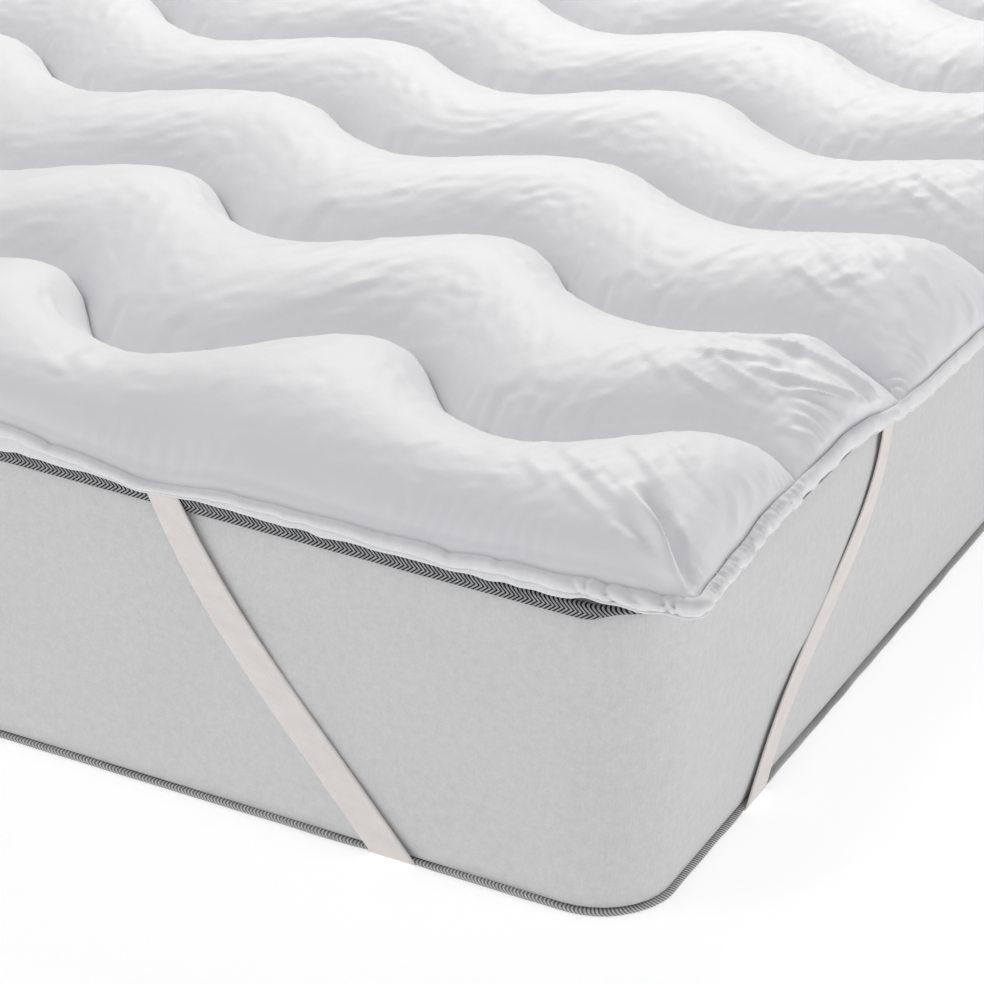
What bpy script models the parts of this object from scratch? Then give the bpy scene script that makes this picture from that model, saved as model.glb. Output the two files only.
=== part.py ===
"""A quilted mattress topper held on a mattress by four elastic corner straps.

Metres, +Z up. The origin is the middle of the mattress's underside. X runs across the
bed and Y along it, with the foot of the bed at -Y.

The topper is one filled pad, sewn through along seven wavy lines, with a soft binding
round its edge. Each strap leaves the binding, crosses the side of the mattress at a
slant, passes under the corner and comes up the next side.
"""

import math

import bmesh
import bpy

# Driving dimensions.
MATTRESS_WIDTH = 1.400
MATTRESS_LENGTH = 1.900
MATTRESS_HEIGHT = 0.258
MATTRESS_CORNER = 0.065
MATTRESS_ARC_STEPS = 8
FIT_GAP = 0.0003

# Edge tape sewn round the top and the bottom of the mattress.
TAPE_HEIGHT = 0.0095
TAPE_DEPTH = 0.0080
TAPE_PROUD = 0.0025
TAPE_BULGE = 0.0022
TAPE_LIFT = 0.0020

# Quilted pad.
PAD_OVERHANG_SIDES = 0.0060
PAD_OVERHANG_ENDS = 0.0030
PAD_CORNER = 0.016
SEAM_HEIGHT = 0.013
CROWN_HEIGHT = 0.050
END_RISE = 0.085

# Wavy sewing lines. They run across the bed and repeat along it.
LINE_PITCH = 0.2455
FIRST_LINE = 0.2180
DRIFT_SPAN = 0.800
# One row for each line, from the foot. Stray is how far the line lies off the even
# pitch. Swing is how far it waves to each side at the right-hand edge, and far_swing at
# DRIFT_SPAN in from there. Lean is how far it has moved up the bed by then, and bend how
# far it bows up the bed half way. Wave is the length of one wave and crest how far the
# first crest lies from the right-hand edge. Peak sharpens the crests. Pull is how far the
# straps draw the line's ends up the bed, and reach how far in that is felt.
SEWING_LINES = (
    {
        "stray": -0.003, "swing": 0.047, "far_swing": 0.074, "lean": -0.024, "bend": 0.018,
        "wave": 0.318, "crest": 0.044, "peak": 0.07, "pull": 0.000, "reach": 0.100,
    },
    {
        "stray": 0.020, "swing": 0.050, "far_swing": 0.056, "lean": -0.018, "bend": 0.011,
        "wave": 0.327, "crest": 0.045, "peak": 0.08, "pull": -0.050, "reach": 0.110,
    },
    {
        "stray": 0.008, "swing": 0.032, "far_swing": 0.049, "lean": -0.003, "bend": 0.011,
        "wave": 0.332, "crest": 0.048, "peak": 0.00, "pull": 0.000, "reach": 0.100,
    },
    {
        "stray": -0.015, "swing": 0.044, "far_swing": 0.048, "lean": -0.021, "bend": 0.023,
        "wave": 0.325, "crest": 0.054, "peak": 0.00, "pull": 0.000, "reach": 0.100,
    },
    {
        "stray": -0.005, "swing": 0.051, "far_swing": 0.050, "lean": -0.035, "bend": 0.003,
        "wave": 0.334, "crest": 0.039, "peak": 0.00, "pull": 0.000, "reach": 0.100,
    },
    {
        "stray": 0.002, "swing": 0.051, "far_swing": 0.052, "lean": 0.000, "bend": 0.000,
        "wave": 0.331, "crest": 0.058, "peak": 0.00, "pull": -0.040, "reach": 0.100,
    },
    {
        "stray": 0.004, "swing": 0.046, "far_swing": 0.055, "lean": 0.000, "bend": 0.000,
        "wave": 0.331, "crest": 0.045, "peak": 0.00, "pull": 0.000, "reach": 0.100,
    },
)

# Steps of the pad's surface: shares of a channel's width, and distances from its ends.
CHANNEL_STEPS = (0.0, 0.05, 0.15, 0.31, 0.50, 0.69, 0.85, 0.95)
END_STEPS = (0.0, 0.007, 0.020, 0.040, 0.066)
MIDDLE_COLUMNS = 46

# Soft binding round the pad's edge. Its lower edge hangs BINDING_DROP below the top of
# the mattress along the sides, and BINDING_END_RISE higher than that along the ends.
BINDING_HEIGHT = 0.0150
BINDING_THICKNESS = 0.0065
BINDING_BULGE = 0.0030
BINDING_DROP = 0.0040
BINDING_END_RISE = 0.0070
BINDING_FALL_RUN = 0.120
BINDING_STEP = 0.050
BINDING_ARC_STEPS = 5
# The binding also wanders up and down by BINDING_SWAY, over these lengths across and
# along the bed.
BINDING_SWAY = 0.0010
SWAY_ACROSS = 0.370
SWAY_ALONG = 0.530

# Elastic corner straps. Top and bottom are distances from the corner along each side of
# the mattress, and half_width is half of what the strap covers of the side's lower edge.
# Stand_off is how far the strap's upper end is from the edge tape. Bow is how far the
# middle of the slant curves away from the corner, and sway how far its upper part does
# and its lower part the other way.
STRAP_THICKNESS = 0.0012
STRAP_BEND = 0.0030
STRAP_TOP_GAP = 0.0010
STRAP_HALF_FLAT = 0.0145
STRAP_SPREAD_FROM = 0.60
END_SLANT = {
    "top": 0.412, "bottom": 0.204, "half_width": 0.0196, "stand_off": 0.001,
    "bow": 0.0095, "sway": 0.002,
}
SIDE_SLANT = {
    "top": 0.432, "bottom": 0.2265, "half_width": 0.0205, "stand_off": 0.010,
    "bow": 0.0180, "sway": 0.024,
}
STRAP_LEVEL = FIT_GAP + STRAP_THICKNESS
STRAP_CLEAR = TAPE_PROUD + FIT_GAP
STRAP_STEPS = {"end_slant": 10, "end_bend": 4, "under": 2, "side_bend": 4, "side_slant": 14}
GROOVE_DEPTH = 0.0020
GROOVE_MARGIN = 0.0030
GROOVE_OVERRUN = 0.100
CORNERS = {
    "foot_right": (1, -1),
    "foot_left": (-1, -1),
    "head_right": (1, 1),
    "head_left": (-1, 1),
}

HALF_WIDTH = MATTRESS_WIDTH / 2
HALF_LENGTH = MATTRESS_LENGTH / 2
PAD_HALF_WIDTH = HALF_WIDTH + PAD_OVERHANG_SIDES
PAD_HALF_LENGTH = HALF_LENGTH + PAD_OVERHANG_ENDS


def clear_scene():
    """Removes what the startup scene holds."""
    for obj in list(bpy.data.objects):
        bpy.data.objects.remove(obj)


def new_collection(name):
    """A collection linked to the scene."""
    collection = bpy.data.collections.new(name)
    bpy.context.scene.collection.children.link(collection)
    return collection


def new_material(name, colour, roughness):
    """A cloth finish on a Principled BSDF."""
    material = bpy.data.materials.new(name)
    material.use_nodes = True
    shader = material.node_tree.nodes["Principled BSDF"]
    shader.inputs["Base Color"].default_value = (*colour, 1.0)
    shader.inputs["Roughness"].default_value = roughness
    shader.inputs["Metallic"].default_value = 0.0
    return material


def new_object(name, data, collection, material=None):
    """An object in a collection, with one material."""
    obj = bpy.data.objects.new(name, data)
    collection.objects.link(obj)
    if material is not None:
        data.materials.append(material)
    return obj


def mesh_from(build, name):
    """A mesh data-block from a bmesh, which is freed."""
    mesh = bpy.data.meshes.new(name)
    build.to_mesh(mesh)
    build.free()
    return mesh


def rounded_rectangle(half_x, half_y, radius, arc_steps, side_step):
    """Points round a rectangle with round corners, anticlockwise from the foot's right."""
    arcs = []
    for index, (side_x, side_y) in enumerate(((1, -1), (1, 1), (-1, 1), (-1, -1))):
        centre_x = side_x * (half_x - radius)
        centre_y = side_y * (half_y - radius)
        angles = [(index - 1 + step / arc_steps) * math.pi / 2 for step in range(arc_steps + 1)]
        arcs.append(
            [
                (centre_x + radius * math.cos(angle), centre_y + radius * math.sin(angle))
                for angle in angles
            ]
        )
    points = []
    for arc, next_arc in zip(arcs, arcs[1:] + arcs[:1]):
        points += arc
        (start_x, start_y), (end_x, end_y) = arc[-1], next_arc[0]
        run_x, run_y = end_x - start_x, end_y - start_y
        pieces = max(round(math.hypot(run_x, run_y) / side_step), 1)
        shares = [piece / pieces for piece in range(1, pieces)]
        points += [(start_x + run_x * share, start_y + run_y * share) for share in shares]
    return points


def make_mattress(collection, material):
    """The mattress: a rounded block stepped in at top and bottom for the edge tapes."""
    step_height = TAPE_HEIGHT + TAPE_LIFT + FIT_GAP
    band_height = MATTRESS_HEIGHT - TAPE_HEIGHT - FIT_GAP - step_height
    build = bmesh.new()
    bmesh.ops.create_cube(build, size=1.0)
    bmesh.ops.scale(
        build,
        vec=(MATTRESS_WIDTH, MATTRESS_LENGTH, band_height),
        verts=build.verts,
    )
    bmesh.ops.translate(
        build, vec=(0, 0, step_height + band_height / 2), verts=build.verts
    )
    upright = [
        edge
        for edge in build.edges
        if abs(edge.verts[0].co.z - edge.verts[1].co.z) > band_height / 2
    ]
    bmesh.ops.bevel(
        build,
        geom=upright,
        offset=MATTRESS_CORNER,
        offset_type="OFFSET",
        segments=MATTRESS_ARC_STEPS,
        profile=0.5,
        affect="EDGES",
        material=-1,
    )
    build.faces.ensure_lookup_table()
    top = max(build.faces, key=lambda face: face.calc_center_median().z)
    bottom = min(build.faces, key=lambda face: face.calc_center_median().z)
    for face, rise in ((top, TAPE_HEIGHT + FIT_GAP), (bottom, -step_height)):
        bmesh.ops.inset_region(build, faces=[face], thickness=TAPE_DEPTH)
        raised = bmesh.ops.extrude_face_region(build, geom=[face])["geom"]
        corners = [item for item in raised if isinstance(item, bmesh.types.BMVert)]
        bmesh.ops.translate(build, vec=(0, 0, rise), verts=corners)
        bmesh.ops.delete(build, geom=[face], context="FACES_ONLY")
    bmesh.ops.recalc_face_normals(build, faces=build.faces)
    return new_object("mattress", mesh_from(build, "mattress"), collection, material)


def band_profile(name, width, height, bulge, collection):
    """A hidden closed profile: flat on its inner side and round on its outer side."""
    outline = [
        (-width / 2, -height / 2),
        (width / 2 - bulge, -height / 2),
        (width / 2 - bulge / 4, -height / 4),
        (width / 2, 0.0),
        (width / 2 - bulge / 4, height / 4),
        (width / 2 - bulge, height / 2),
        (-width / 2, height / 2),
    ]
    curve = bpy.data.curves.new(name, "CURVE")
    curve.dimensions = "2D"
    spline = curve.splines.new("POLY")
    spline.points.add(len(outline) - 1)
    for point, (across, up) in zip(spline.points, reversed(outline)):
        # The profile's first axis points to the right of the path, which is outwards.
        point.co = (across, up, 0.0, 1.0)
    spline.use_cyclic_u = True
    profile = new_object(name, curve, collection)
    profile.hide_render = True
    profile.display_type = "WIRE"
    return profile


def make_band(name, path, profile, collection, material):
    """A closed band swept round a path of (x, y, z) points."""
    curve = bpy.data.curves.new(name, "CURVE")
    curve.dimensions = "3D"
    curve.twist_mode = "Z_UP"
    curve.bevel_mode = "OBJECT"
    curve.bevel_object = profile
    spline = curve.splines.new("POLY")
    spline.points.add(len(path) - 1)
    for point, place in zip(spline.points, path):
        point.co = (*place, 1.0)
    spline.use_cyclic_u = True
    new_object(name, curve, collection, material)


def make_edge_tapes(collection, guides, material):
    """The woven tape sewn over the mattress's top edge and over its bottom edge."""
    width = TAPE_DEPTH + TAPE_PROUD - FIT_GAP
    outwards = TAPE_PROUD - width / 2
    profile = band_profile("tape_profile", width, TAPE_HEIGHT, TAPE_BULGE, guides)
    outline = rounded_rectangle(
        HALF_WIDTH + outwards,
        HALF_LENGTH + outwards,
        MATTRESS_CORNER + outwards,
        arc_steps=MATTRESS_ARC_STEPS,
        side_step=math.inf,
    )
    levels = {
        "edge_tape_bottom": TAPE_LIFT + TAPE_HEIGHT / 2,
        "edge_tape_top": MATTRESS_HEIGHT - TAPE_HEIGHT / 2,
    }
    for name, level in levels.items():
        path = [(x, y, level) for x, y in outline]
        make_band(name, path, profile, collection, material)


def line_at(index, x):
    """How far up the bed sewing line `index` lies at x."""
    line = SEWING_LINES[index]
    inwards = HALF_WIDTH - x
    drift = min(max(inwards / DRIFT_SPAN, 0.0), 1.0)
    swing = line["swing"] + drift * (line["far_swing"] - line["swing"])
    turn = 2 * math.pi * (inwards - line["crest"]) / line["wave"]
    wave = swing * (math.cos(turn) + line["peak"] * math.cos(2 * turn))
    from_end = (HALF_WIDTH - abs(x)) / line["reach"]
    pull = line["pull"] * math.exp(-from_end * from_end)
    middle = FIRST_LINE + index * LINE_PITCH + line["stray"] + drift * line["lean"]
    middle += line["bend"] * math.sin(math.pi * drift) ** 2
    return -HALF_LENGTH + middle + wave + pull


def channel_edge(index, x):
    """The border below channel `index`: the pad's foot, a sewing line or its head."""
    if index == 0:
        return -PAD_HALF_LENGTH
    if index > len(SEWING_LINES):
        return PAD_HALF_LENGTH
    return line_at(index - 1, x)


def swell(share):
    """The puffed height across a channel, from 0 at its borders to 1 in the middle."""
    return math.sqrt(max(0.0, 1.0 - (2.0 * share - 1.0) ** 2))


def end_swell(distance):
    """How the puff rises from the pad's end, from 0 to 1."""
    return math.sqrt(max(0.0, 1.0 - (1.0 - min(distance / END_RISE, 1.0)) ** 2))


def rounded_corner(x, y):
    """Moves a point of the square pad so that its corners come out round."""
    centre_x = PAD_HALF_WIDTH - PAD_CORNER
    centre_y = PAD_HALF_LENGTH - PAD_CORNER
    past_x, past_y = abs(x) - centre_x, abs(y) - centre_y
    if past_x <= 0 or past_y <= 0:
        return x, y
    pull = max(past_x, past_y) / math.hypot(past_x, past_y)
    return (
        math.copysign(centre_x + past_x * pull, x),
        math.copysign(centre_y + past_y * pull, y),
    )


def pad_columns():
    """The x of each column of the pad's surface, from left to right."""
    inner = PAD_HALF_WIDTH - END_STEPS[-1]
    left = [-PAD_HALF_WIDTH + step for step in END_STEPS]
    middle = [
        -inner + 2 * inner * step / MIDDLE_COLUMNS for step in range(1, MIDDLE_COLUMNS)
    ]
    right = [PAD_HALF_WIDTH - step for step in reversed(END_STEPS)]
    return left + middle + right


def pad_rows():
    """The (channel, share of its width) of each row of the pad's surface."""
    channels = len(SEWING_LINES) + 1
    rows = [(channel, step) for channel in range(channels) for step in CHANNEL_STEPS]
    return [*rows, (channels - 1, 1.0)]


def pad_point(x, channel, share):
    """A point of the quilted top. Where a channel is narrow, it puffs up less."""
    below, above = channel_edge(channel, x), channel_edge(channel + 1, x)
    plumpness = math.sqrt((above - below) / LINE_PITCH)
    puff = plumpness * swell(share) * end_swell(PAD_HALF_WIDTH - abs(x))
    level = MATTRESS_HEIGHT + SEAM_HEIGHT + CROWN_HEIGHT * puff
    return (*rounded_corner(x, below + share * (above - below)), level)


def make_pad(collection, material):
    """The filled pad: a quilted top, a low upright rim and a flat underside."""
    columns, rows = pad_columns(), pad_rows()
    build = bmesh.new()
    bmesh.ops.create_grid(
        build, x_segments=len(columns) - 1, y_segments=len(rows) - 1, size=1.0
    )
    for vertex in build.verts:
        column = round((vertex.co.x + 1) / 2 * (len(columns) - 1))
        row = round((vertex.co.y + 1) / 2 * (len(rows) - 1))
        vertex.co = pad_point(columns[column], *rows[row])
    rim = [edge for edge in build.edges if edge.is_boundary]
    lowered = bmesh.ops.extrude_edge_only(build, edges=rim)["geom"]
    for item in lowered:
        if isinstance(item, bmesh.types.BMVert):
            item.co.z = MATTRESS_HEIGHT + FIT_GAP
    hem = [edge for edge in build.edges if edge.is_boundary]
    bmesh.ops.contextual_create(build, geom=hem)
    bmesh.ops.recalc_face_normals(build, faces=build.faces)
    mesh = mesh_from(build, "topper_pad")
    mesh.shade_smooth()
    mesh.set_sharp_from_angle(angle=math.radians(60))
    new_object("topper_pad", mesh, collection, material)


def binding_level(x, y):
    """The height of the binding's middle: higher along the foot and the head."""
    fall = min(max((HALF_LENGTH - abs(y)) / BINDING_FALL_RUN, 0.0), 1.0)
    rise = BINDING_END_RISE * (1 - fall * fall * (3 - 2 * fall))
    sway = math.sin(2 * math.pi * x / SWAY_ACROSS) * math.cos(2 * math.pi * y / SWAY_ALONG)
    low = MATTRESS_HEIGHT - BINDING_DROP + BINDING_HEIGHT / 2
    return low + rise + BINDING_SWAY * sway


def make_binding(collection, guides, material):
    """The soft binding that wraps the pad's edge and hangs a little over the tape."""
    outwards = 2 * FIT_GAP + BINDING_THICKNESS / 2
    profile = band_profile(
        "binding_profile", BINDING_THICKNESS, BINDING_HEIGHT, BINDING_BULGE, guides
    )
    outline = rounded_rectangle(
        PAD_HALF_WIDTH + outwards,
        PAD_HALF_LENGTH + outwards,
        PAD_CORNER + outwards,
        arc_steps=BINDING_ARC_STEPS,
        side_step=BINDING_STEP,
    )
    path = [(x, y, binding_level(x, y)) for x, y in outline]
    make_band("topper_binding", path, profile, collection, material)


def strap_stations():
    """Stations along a strap: which stretch each is on, and how far along that stretch."""
    stations = [("end_slant", 0.0)]
    for stretch, count in STRAP_STEPS.items():
        stations += [(stretch, step / count) for step in range(1, count + 1)]
    return stations


def slant_half_width(slant, share, drop):
    """Half of what the flat strap covers of a level line, more where it slants more."""
    run = slant["bottom"] - slant["top"] + math.pi * slant["bow"] * math.cos(math.pi * share)
    run += 2 * math.pi * slant["sway"] * math.cos(2 * math.pi * share)
    half_width = STRAP_HALF_FLAT * math.hypot(1.0, run / drop)
    spread = max(0.0, (share - STRAP_SPREAD_FROM) / (1 - STRAP_SPREAD_FROM))
    return half_width + spread * spread * (slant["half_width"] - half_width)


def slant_point(slant, share, rail):
    """A point of the slanting stretch, share 0 at its top and 1 where it bends under.

    It is how far from the corner the point lies, how far outwards and how high. Rail -1
    is the edge of the strap nearer the corner, and 1 the edge away from it.
    """
    top = MATTRESS_HEIGHT - BINDING_DROP - STRAP_TOP_GAP - BINDING_SWAY
    foot = STRAP_LEVEL + STRAP_BEND
    along = slant["top"] + share * (slant["bottom"] - slant["top"])
    along += slant["bow"] * math.sin(math.pi * share)
    along += slant["sway"] * math.sin(2 * math.pi * share)
    along += rail * slant_half_width(slant, share, top - foot)
    outwards = STRAP_CLEAR + slant["stand_off"] * math.sqrt(1 - share)
    return along, outwards, top + share * (foot - top)


def bend_point(slant, share, rail):
    """A point of the turn under the mattress's edge, share 0 at the side."""
    angle = share * math.pi / 2
    return (
        slant["bottom"] + rail * slant["half_width"],
        STRAP_CLEAR - STRAP_BEND + STRAP_BEND * math.cos(angle),
        STRAP_LEVEL + STRAP_BEND - STRAP_BEND * math.sin(angle),
    )


def strap_point(stretch, share, rail):
    """A point of the strap's inner face, as offsets outwards from the corner's two sides.

    The first offset is across the bed, the second along it, and the third the height.
    """
    if stretch == "end_slant":
        along, outwards, height = slant_point(END_SLANT, share, rail)
        return -along, outwards, height
    if stretch == "end_bend":
        along, outwards, height = bend_point(END_SLANT, share, rail)
        return -along, outwards, height
    if stretch == "side_bend":
        along, outwards, height = bend_point(SIDE_SLANT, 1 - share, rail)
        return outwards, -along, height
    if stretch == "side_slant":
        along, outwards, height = slant_point(SIDE_SLANT, 1 - share, rail)
        return outwards, -along, height
    inset = STRAP_CLEAR - STRAP_BEND
    across = -END_SLANT["bottom"] - rail * END_SLANT["half_width"]
    down = -SIDE_SLANT["bottom"] - rail * SIDE_SLANT["half_width"]
    return (
        across + share * (inset - across),
        inset + share * (down - inset),
        STRAP_LEVEL,
    )


def make_strap(name, side_x, side_y, collection, material):
    """An elastic strap round the corner whose sides face side_x and side_y."""
    stations = strap_stations()
    build = bmesh.new()
    bmesh.ops.create_grid(
        build, x_segments=len(stations) - 1, y_segments=1, size=1.0
    )
    for vertex in build.verts:
        station = round((vertex.co.x + 1) / 2 * (len(stations) - 1))
        rail = round(vertex.co.y)
        past_x, past_y, height = strap_point(*stations[station], rail)
        vertex.co = (
            side_x * (HALF_WIDTH + past_x),
            side_y * (HALF_LENGTH + past_y),
            height,
        )
    lowest = min(build.faces, key=lambda face: face.calc_center_median().z)
    lowest.normal_update()
    if lowest.normal.z > 0:
        bmesh.ops.reverse_faces(build, faces=build.faces)
    strap = new_object(name, mesh_from(build, name), collection, material)
    thickness = strap.modifiers.new("thickness", "SOLIDIFY")
    thickness.thickness = STRAP_THICKNESS
    thickness.offset = 1.0
    thickness.use_even_offset = True


def cut_groove(mattress, name, side_x, side_y, guides):
    """Presses a shallow groove into the mattress's underside where a strap runs."""
    start = (HALF_WIDTH - END_SLANT["bottom"], HALF_LENGTH)
    end = (HALF_WIDTH, HALF_LENGTH - SIDE_SLANT["bottom"])
    run_x, run_y = end[0] - start[0], end[1] - start[1]
    length = math.hypot(run_x, run_y)
    half_span = END_SLANT["half_width"] * abs(run_y) / length + GROOVE_MARGIN
    build = bmesh.new()
    bmesh.ops.create_cube(build, size=1.0)
    bmesh.ops.scale(
        build,
        vec=(length + GROOVE_OVERRUN, 2 * half_span, 2 * GROOVE_DEPTH),
        verts=build.verts,
    )
    cutter = new_object(name, mesh_from(build, name), guides)
    cutter.location = (
        side_x * (start[0] + end[0]) / 2,
        side_y * (start[1] + end[1]) / 2,
        0.0,
    )
    cutter.rotation_euler.z = math.atan2(side_y * run_y, side_x * run_x)
    cutter.hide_render = True
    cutter.display_type = "WIRE"
    groove = mattress.modifiers.new(name, "BOOLEAN")
    groove.operation = "DIFFERENCE"
    groove.solver = "EXACT"
    groove.object = cutter


def main():
    """Builds the mattress, its tapes, the topper and the straps."""
    clear_scene()
    parts = new_collection("mattress_topper_on_mattress")
    guides = new_collection("guides")
    knit = new_material("grey_border_knit", (0.62, 0.63, 0.62), 0.95)
    tape = new_material("herringbone_tape", (0.16, 0.16, 0.165), 0.9)
    cotton = new_material("white_microfibre", (0.86, 0.87, 0.89), 0.85)
    piping = new_material("white_binding", (0.80, 0.80, 0.81), 0.85)
    elastic = new_material("ivory_elastic", (0.76, 0.73, 0.71), 0.8)

    mattress = make_mattress(parts, knit)
    make_edge_tapes(parts, guides, tape)
    make_pad(parts, cotton)
    make_binding(parts, guides, piping)
    for corner, (side_x, side_y) in CORNERS.items():
        make_strap(f"strap_{corner}", side_x, side_y, parts, elastic)
        cut_groove(mattress, f"groove_{corner}", side_x, side_y, guides)


main()
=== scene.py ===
"""A quilted mattress topper on its mattress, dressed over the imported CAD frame.

The topper is one filled quilt, sewn through along seven wavy lines and bound round its
edge. Four elastic straps hold it on a mattress with a knitted border and two woven edge
tapes. Metres, +Z up, the foot of the bed at -Y, as in the CAD.
"""

import logging
import math
from dataclasses import dataclass
from enum import Enum
from typing import Callable

import bmesh
import bpy
import numpy as np
from mathutils import Matrix, Vector


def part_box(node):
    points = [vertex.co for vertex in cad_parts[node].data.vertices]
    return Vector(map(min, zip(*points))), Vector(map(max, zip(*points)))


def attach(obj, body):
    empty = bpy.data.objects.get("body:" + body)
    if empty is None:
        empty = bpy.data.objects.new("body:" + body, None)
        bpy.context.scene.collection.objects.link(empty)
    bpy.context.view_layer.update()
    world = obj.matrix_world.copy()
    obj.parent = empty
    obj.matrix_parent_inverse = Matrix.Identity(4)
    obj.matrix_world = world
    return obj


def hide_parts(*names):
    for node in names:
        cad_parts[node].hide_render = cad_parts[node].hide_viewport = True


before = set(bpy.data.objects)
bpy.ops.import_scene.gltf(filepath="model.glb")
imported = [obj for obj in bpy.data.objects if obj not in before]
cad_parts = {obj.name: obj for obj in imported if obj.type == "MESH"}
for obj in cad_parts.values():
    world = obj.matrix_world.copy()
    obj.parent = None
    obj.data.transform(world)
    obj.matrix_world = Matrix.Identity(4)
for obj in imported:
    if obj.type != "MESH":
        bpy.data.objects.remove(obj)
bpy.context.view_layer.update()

BODY = "root"
FULL_TURN = 2 * math.pi
MERGE_DISTANCE = 1e-6
TINY = 1e-12
# How far apart pieces stay that touch in the real thing.
FIT_GAP = 0.0003
# The Mix node's colour sockets, which share their names with its other kinds.
MIX_FIRST = 6
MIX_SECOND = 7
MIX_COLOUR = 2
# How far the Wave node's phase moves in a metre at a scale of 1.
STRAIGHT_BANDS = 20.0
SLANTING_BANDS = 10.0 * math.sqrt(3)

log = logging.getLogger("mattress_topper")


class Slot(Enum):
    """The record's material slots."""

    KNIT = "border_knit"
    TAPE = "edge_tape"
    QUILT = "quilt_cover"
    BINDING = "binding"
    ELASTIC = "elastic"


# --- Small tools shared by the pieces ---


def linear(hex_colour: str) -> tuple[float, float, float, float]:
    """Turns an sRGB hex colour into Blender's linear colour.

    Args:
        hex_colour: Six hex digits after a hash.

    Returns:
        Red, green, blue and alpha, each from 0 to 1.
    """
    channels = [int(hex_colour[start : start + 2], 16) / 255 for start in (1, 3, 5)]
    bent = [
        value / 12.92 if value <= 0.04045 else ((value + 0.055) / 1.055) ** 2.4 for value in channels
    ]
    return (*bent, 1.0)


def add_node(
    tree: bpy.types.NodeTree,
    kind: str,
    settings: dict | None = None,
    values: dict | None = None,
    links: dict | None = None,
) -> bpy.types.Node:
    """Adds a node with its settings, the values of its sockets and its links.

    Args:
        tree: The material's or the world's node tree.
        kind: The node's type, such as ShaderNodeBump.
        settings: The node's own properties.
        values: Socket names or numbers, and what each is set to.
        links: Socket names or numbers, and the output that feeds each.

    Returns:
        The new node.
    """
    node = tree.nodes.new(kind)
    for name, value in (settings or {}).items():
        setattr(node, name, value)
    for socket, value in (values or {}).items():
        node.inputs[socket].default_value = value
    for socket, source in (links or {}).items():
        tree.links.new(source, node.inputs[socket])
    return node


def new_material(name: str) -> tuple[bpy.types.Material, bpy.types.NodeTree, bpy.types.Node]:
    """Makes a material.

    Args:
        name: The material's name.

    Returns:
        The material, its node tree and its shader.
    """
    material = bpy.data.materials.new(name)
    material.use_nodes = True
    tree = material.node_tree
    return material, tree, tree.nodes["Principled BSDF"]


def smooth_step(value: np.ndarray | float) -> np.ndarray:
    """Eases a value from 0 to 1, flat at both ends."""
    held = np.clip(value, 0.0, 1.0)
    return held * held * (3 - 2 * held)


def wander(places: np.ndarray, wavelength: float, seed: int, waves: int = 10) -> np.ndarray:
    """Smooth irregular values, mostly between -1 and 1, at the given places.

    Args:
        places: Positions in metres, one row of coordinates for each place.
        wavelength: About how far apart the swells lie.
        seed: Chooses the pattern.
        waves: How many plane waves are added up.

    Returns:
        One value for each place.
    """
    draw = np.random.default_rng(seed)
    total = np.zeros(places.shape[:-1])
    for _ in range(waves):
        direction = draw.normal(size=places.shape[-1])
        direction /= np.linalg.norm(direction)
        pitch = wavelength * draw.uniform(0.7, 1.5)
        phase = draw.uniform(0, FULL_TURN)
        total += np.cos(places @ direction * (FULL_TURN / pitch) + phase)
    return total / math.sqrt(waves)


@dataclass(frozen=True)
class Unevenness:
    """Smooth irregular swells: how large, about how far apart, and which pattern."""

    size: float
    wavelength: float
    seed: int

    def at(self, places: np.ndarray) -> np.ndarray:
        """The swells at the given places, one row of coordinates for each."""
        return self.size * wander(places, self.wavelength, self.seed)


def mesh_from(build: bmesh.types.BMesh, name: str) -> bpy.types.Mesh:
    """Makes a mesh data-block from a bmesh, which is freed.

    Args:
        build: The finished bmesh.
        name: The mesh's name.

    Returns:
        The new mesh.
    """
    mesh = bpy.data.meshes.new(name)
    build.to_mesh(mesh)
    build.free()
    return mesh


def new_object(name: str, data: bpy.types.ID) -> bpy.types.Object:
    """Makes an object at the origin and links it to the scene.

    Args:
        name: The object's name.
        data: Its mesh, camera or lamp.

    Returns:
        The new object.
    """
    obj = bpy.data.objects.new(name, data)
    bpy.context.scene.collection.objects.link(obj)
    return obj


def points_of(mesh: bpy.types.Mesh) -> np.ndarray:
    """Reads a mesh's points.

    Args:
        mesh: The mesh.

    Returns:
        One row of x, y and z for each point.
    """
    places = np.empty(len(mesh.vertices) * 3)
    mesh.vertices.foreach_get("co", places)
    return places.reshape(-1, 3)


def cloth_grid(
    name: str,
    columns: int,
    rows: int,
    place: Callable[[np.ndarray, np.ndarray], np.ndarray],
    uv_size: tuple[float, float] = (1.0, 1.0),
) -> bpy.types.Mesh:
    """A grid of faces whose points are moved to where a maker puts them.

    Args:
        name: The mesh's name.
        columns: How many faces along the first direction.
        rows: How many faces along the second direction.
        place: Gives the positions from the column and row number of each point.
        uv_size: The lengths in metres that the UV map spans in each direction.

    Returns:
        The mesh, with a UV map in metres.
    """
    build = bmesh.new()
    build.loops.layers.uv.new("cloth")
    bmesh.ops.create_grid(build, x_segments=columns, y_segments=rows, size=1.0, calc_uvs=True)
    mesh = mesh_from(build, name)
    unit = points_of(mesh)
    column = np.rint((unit[:, 0] + 1) / 2 * columns).astype(int)
    row = np.rint((unit[:, 1] + 1) / 2 * rows).astype(int)
    mesh.vertices.foreach_set("co", place(column, row).ravel())
    uv = np.empty(len(mesh.loops) * 2)
    mesh.uv_layers[0].data.foreach_get("uv", uv)
    uv = uv.reshape(-1, 2) * uv_size
    mesh.uv_layers[0].data.foreach_set("uv", uv.ravel())
    mesh.update()
    return mesh


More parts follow.
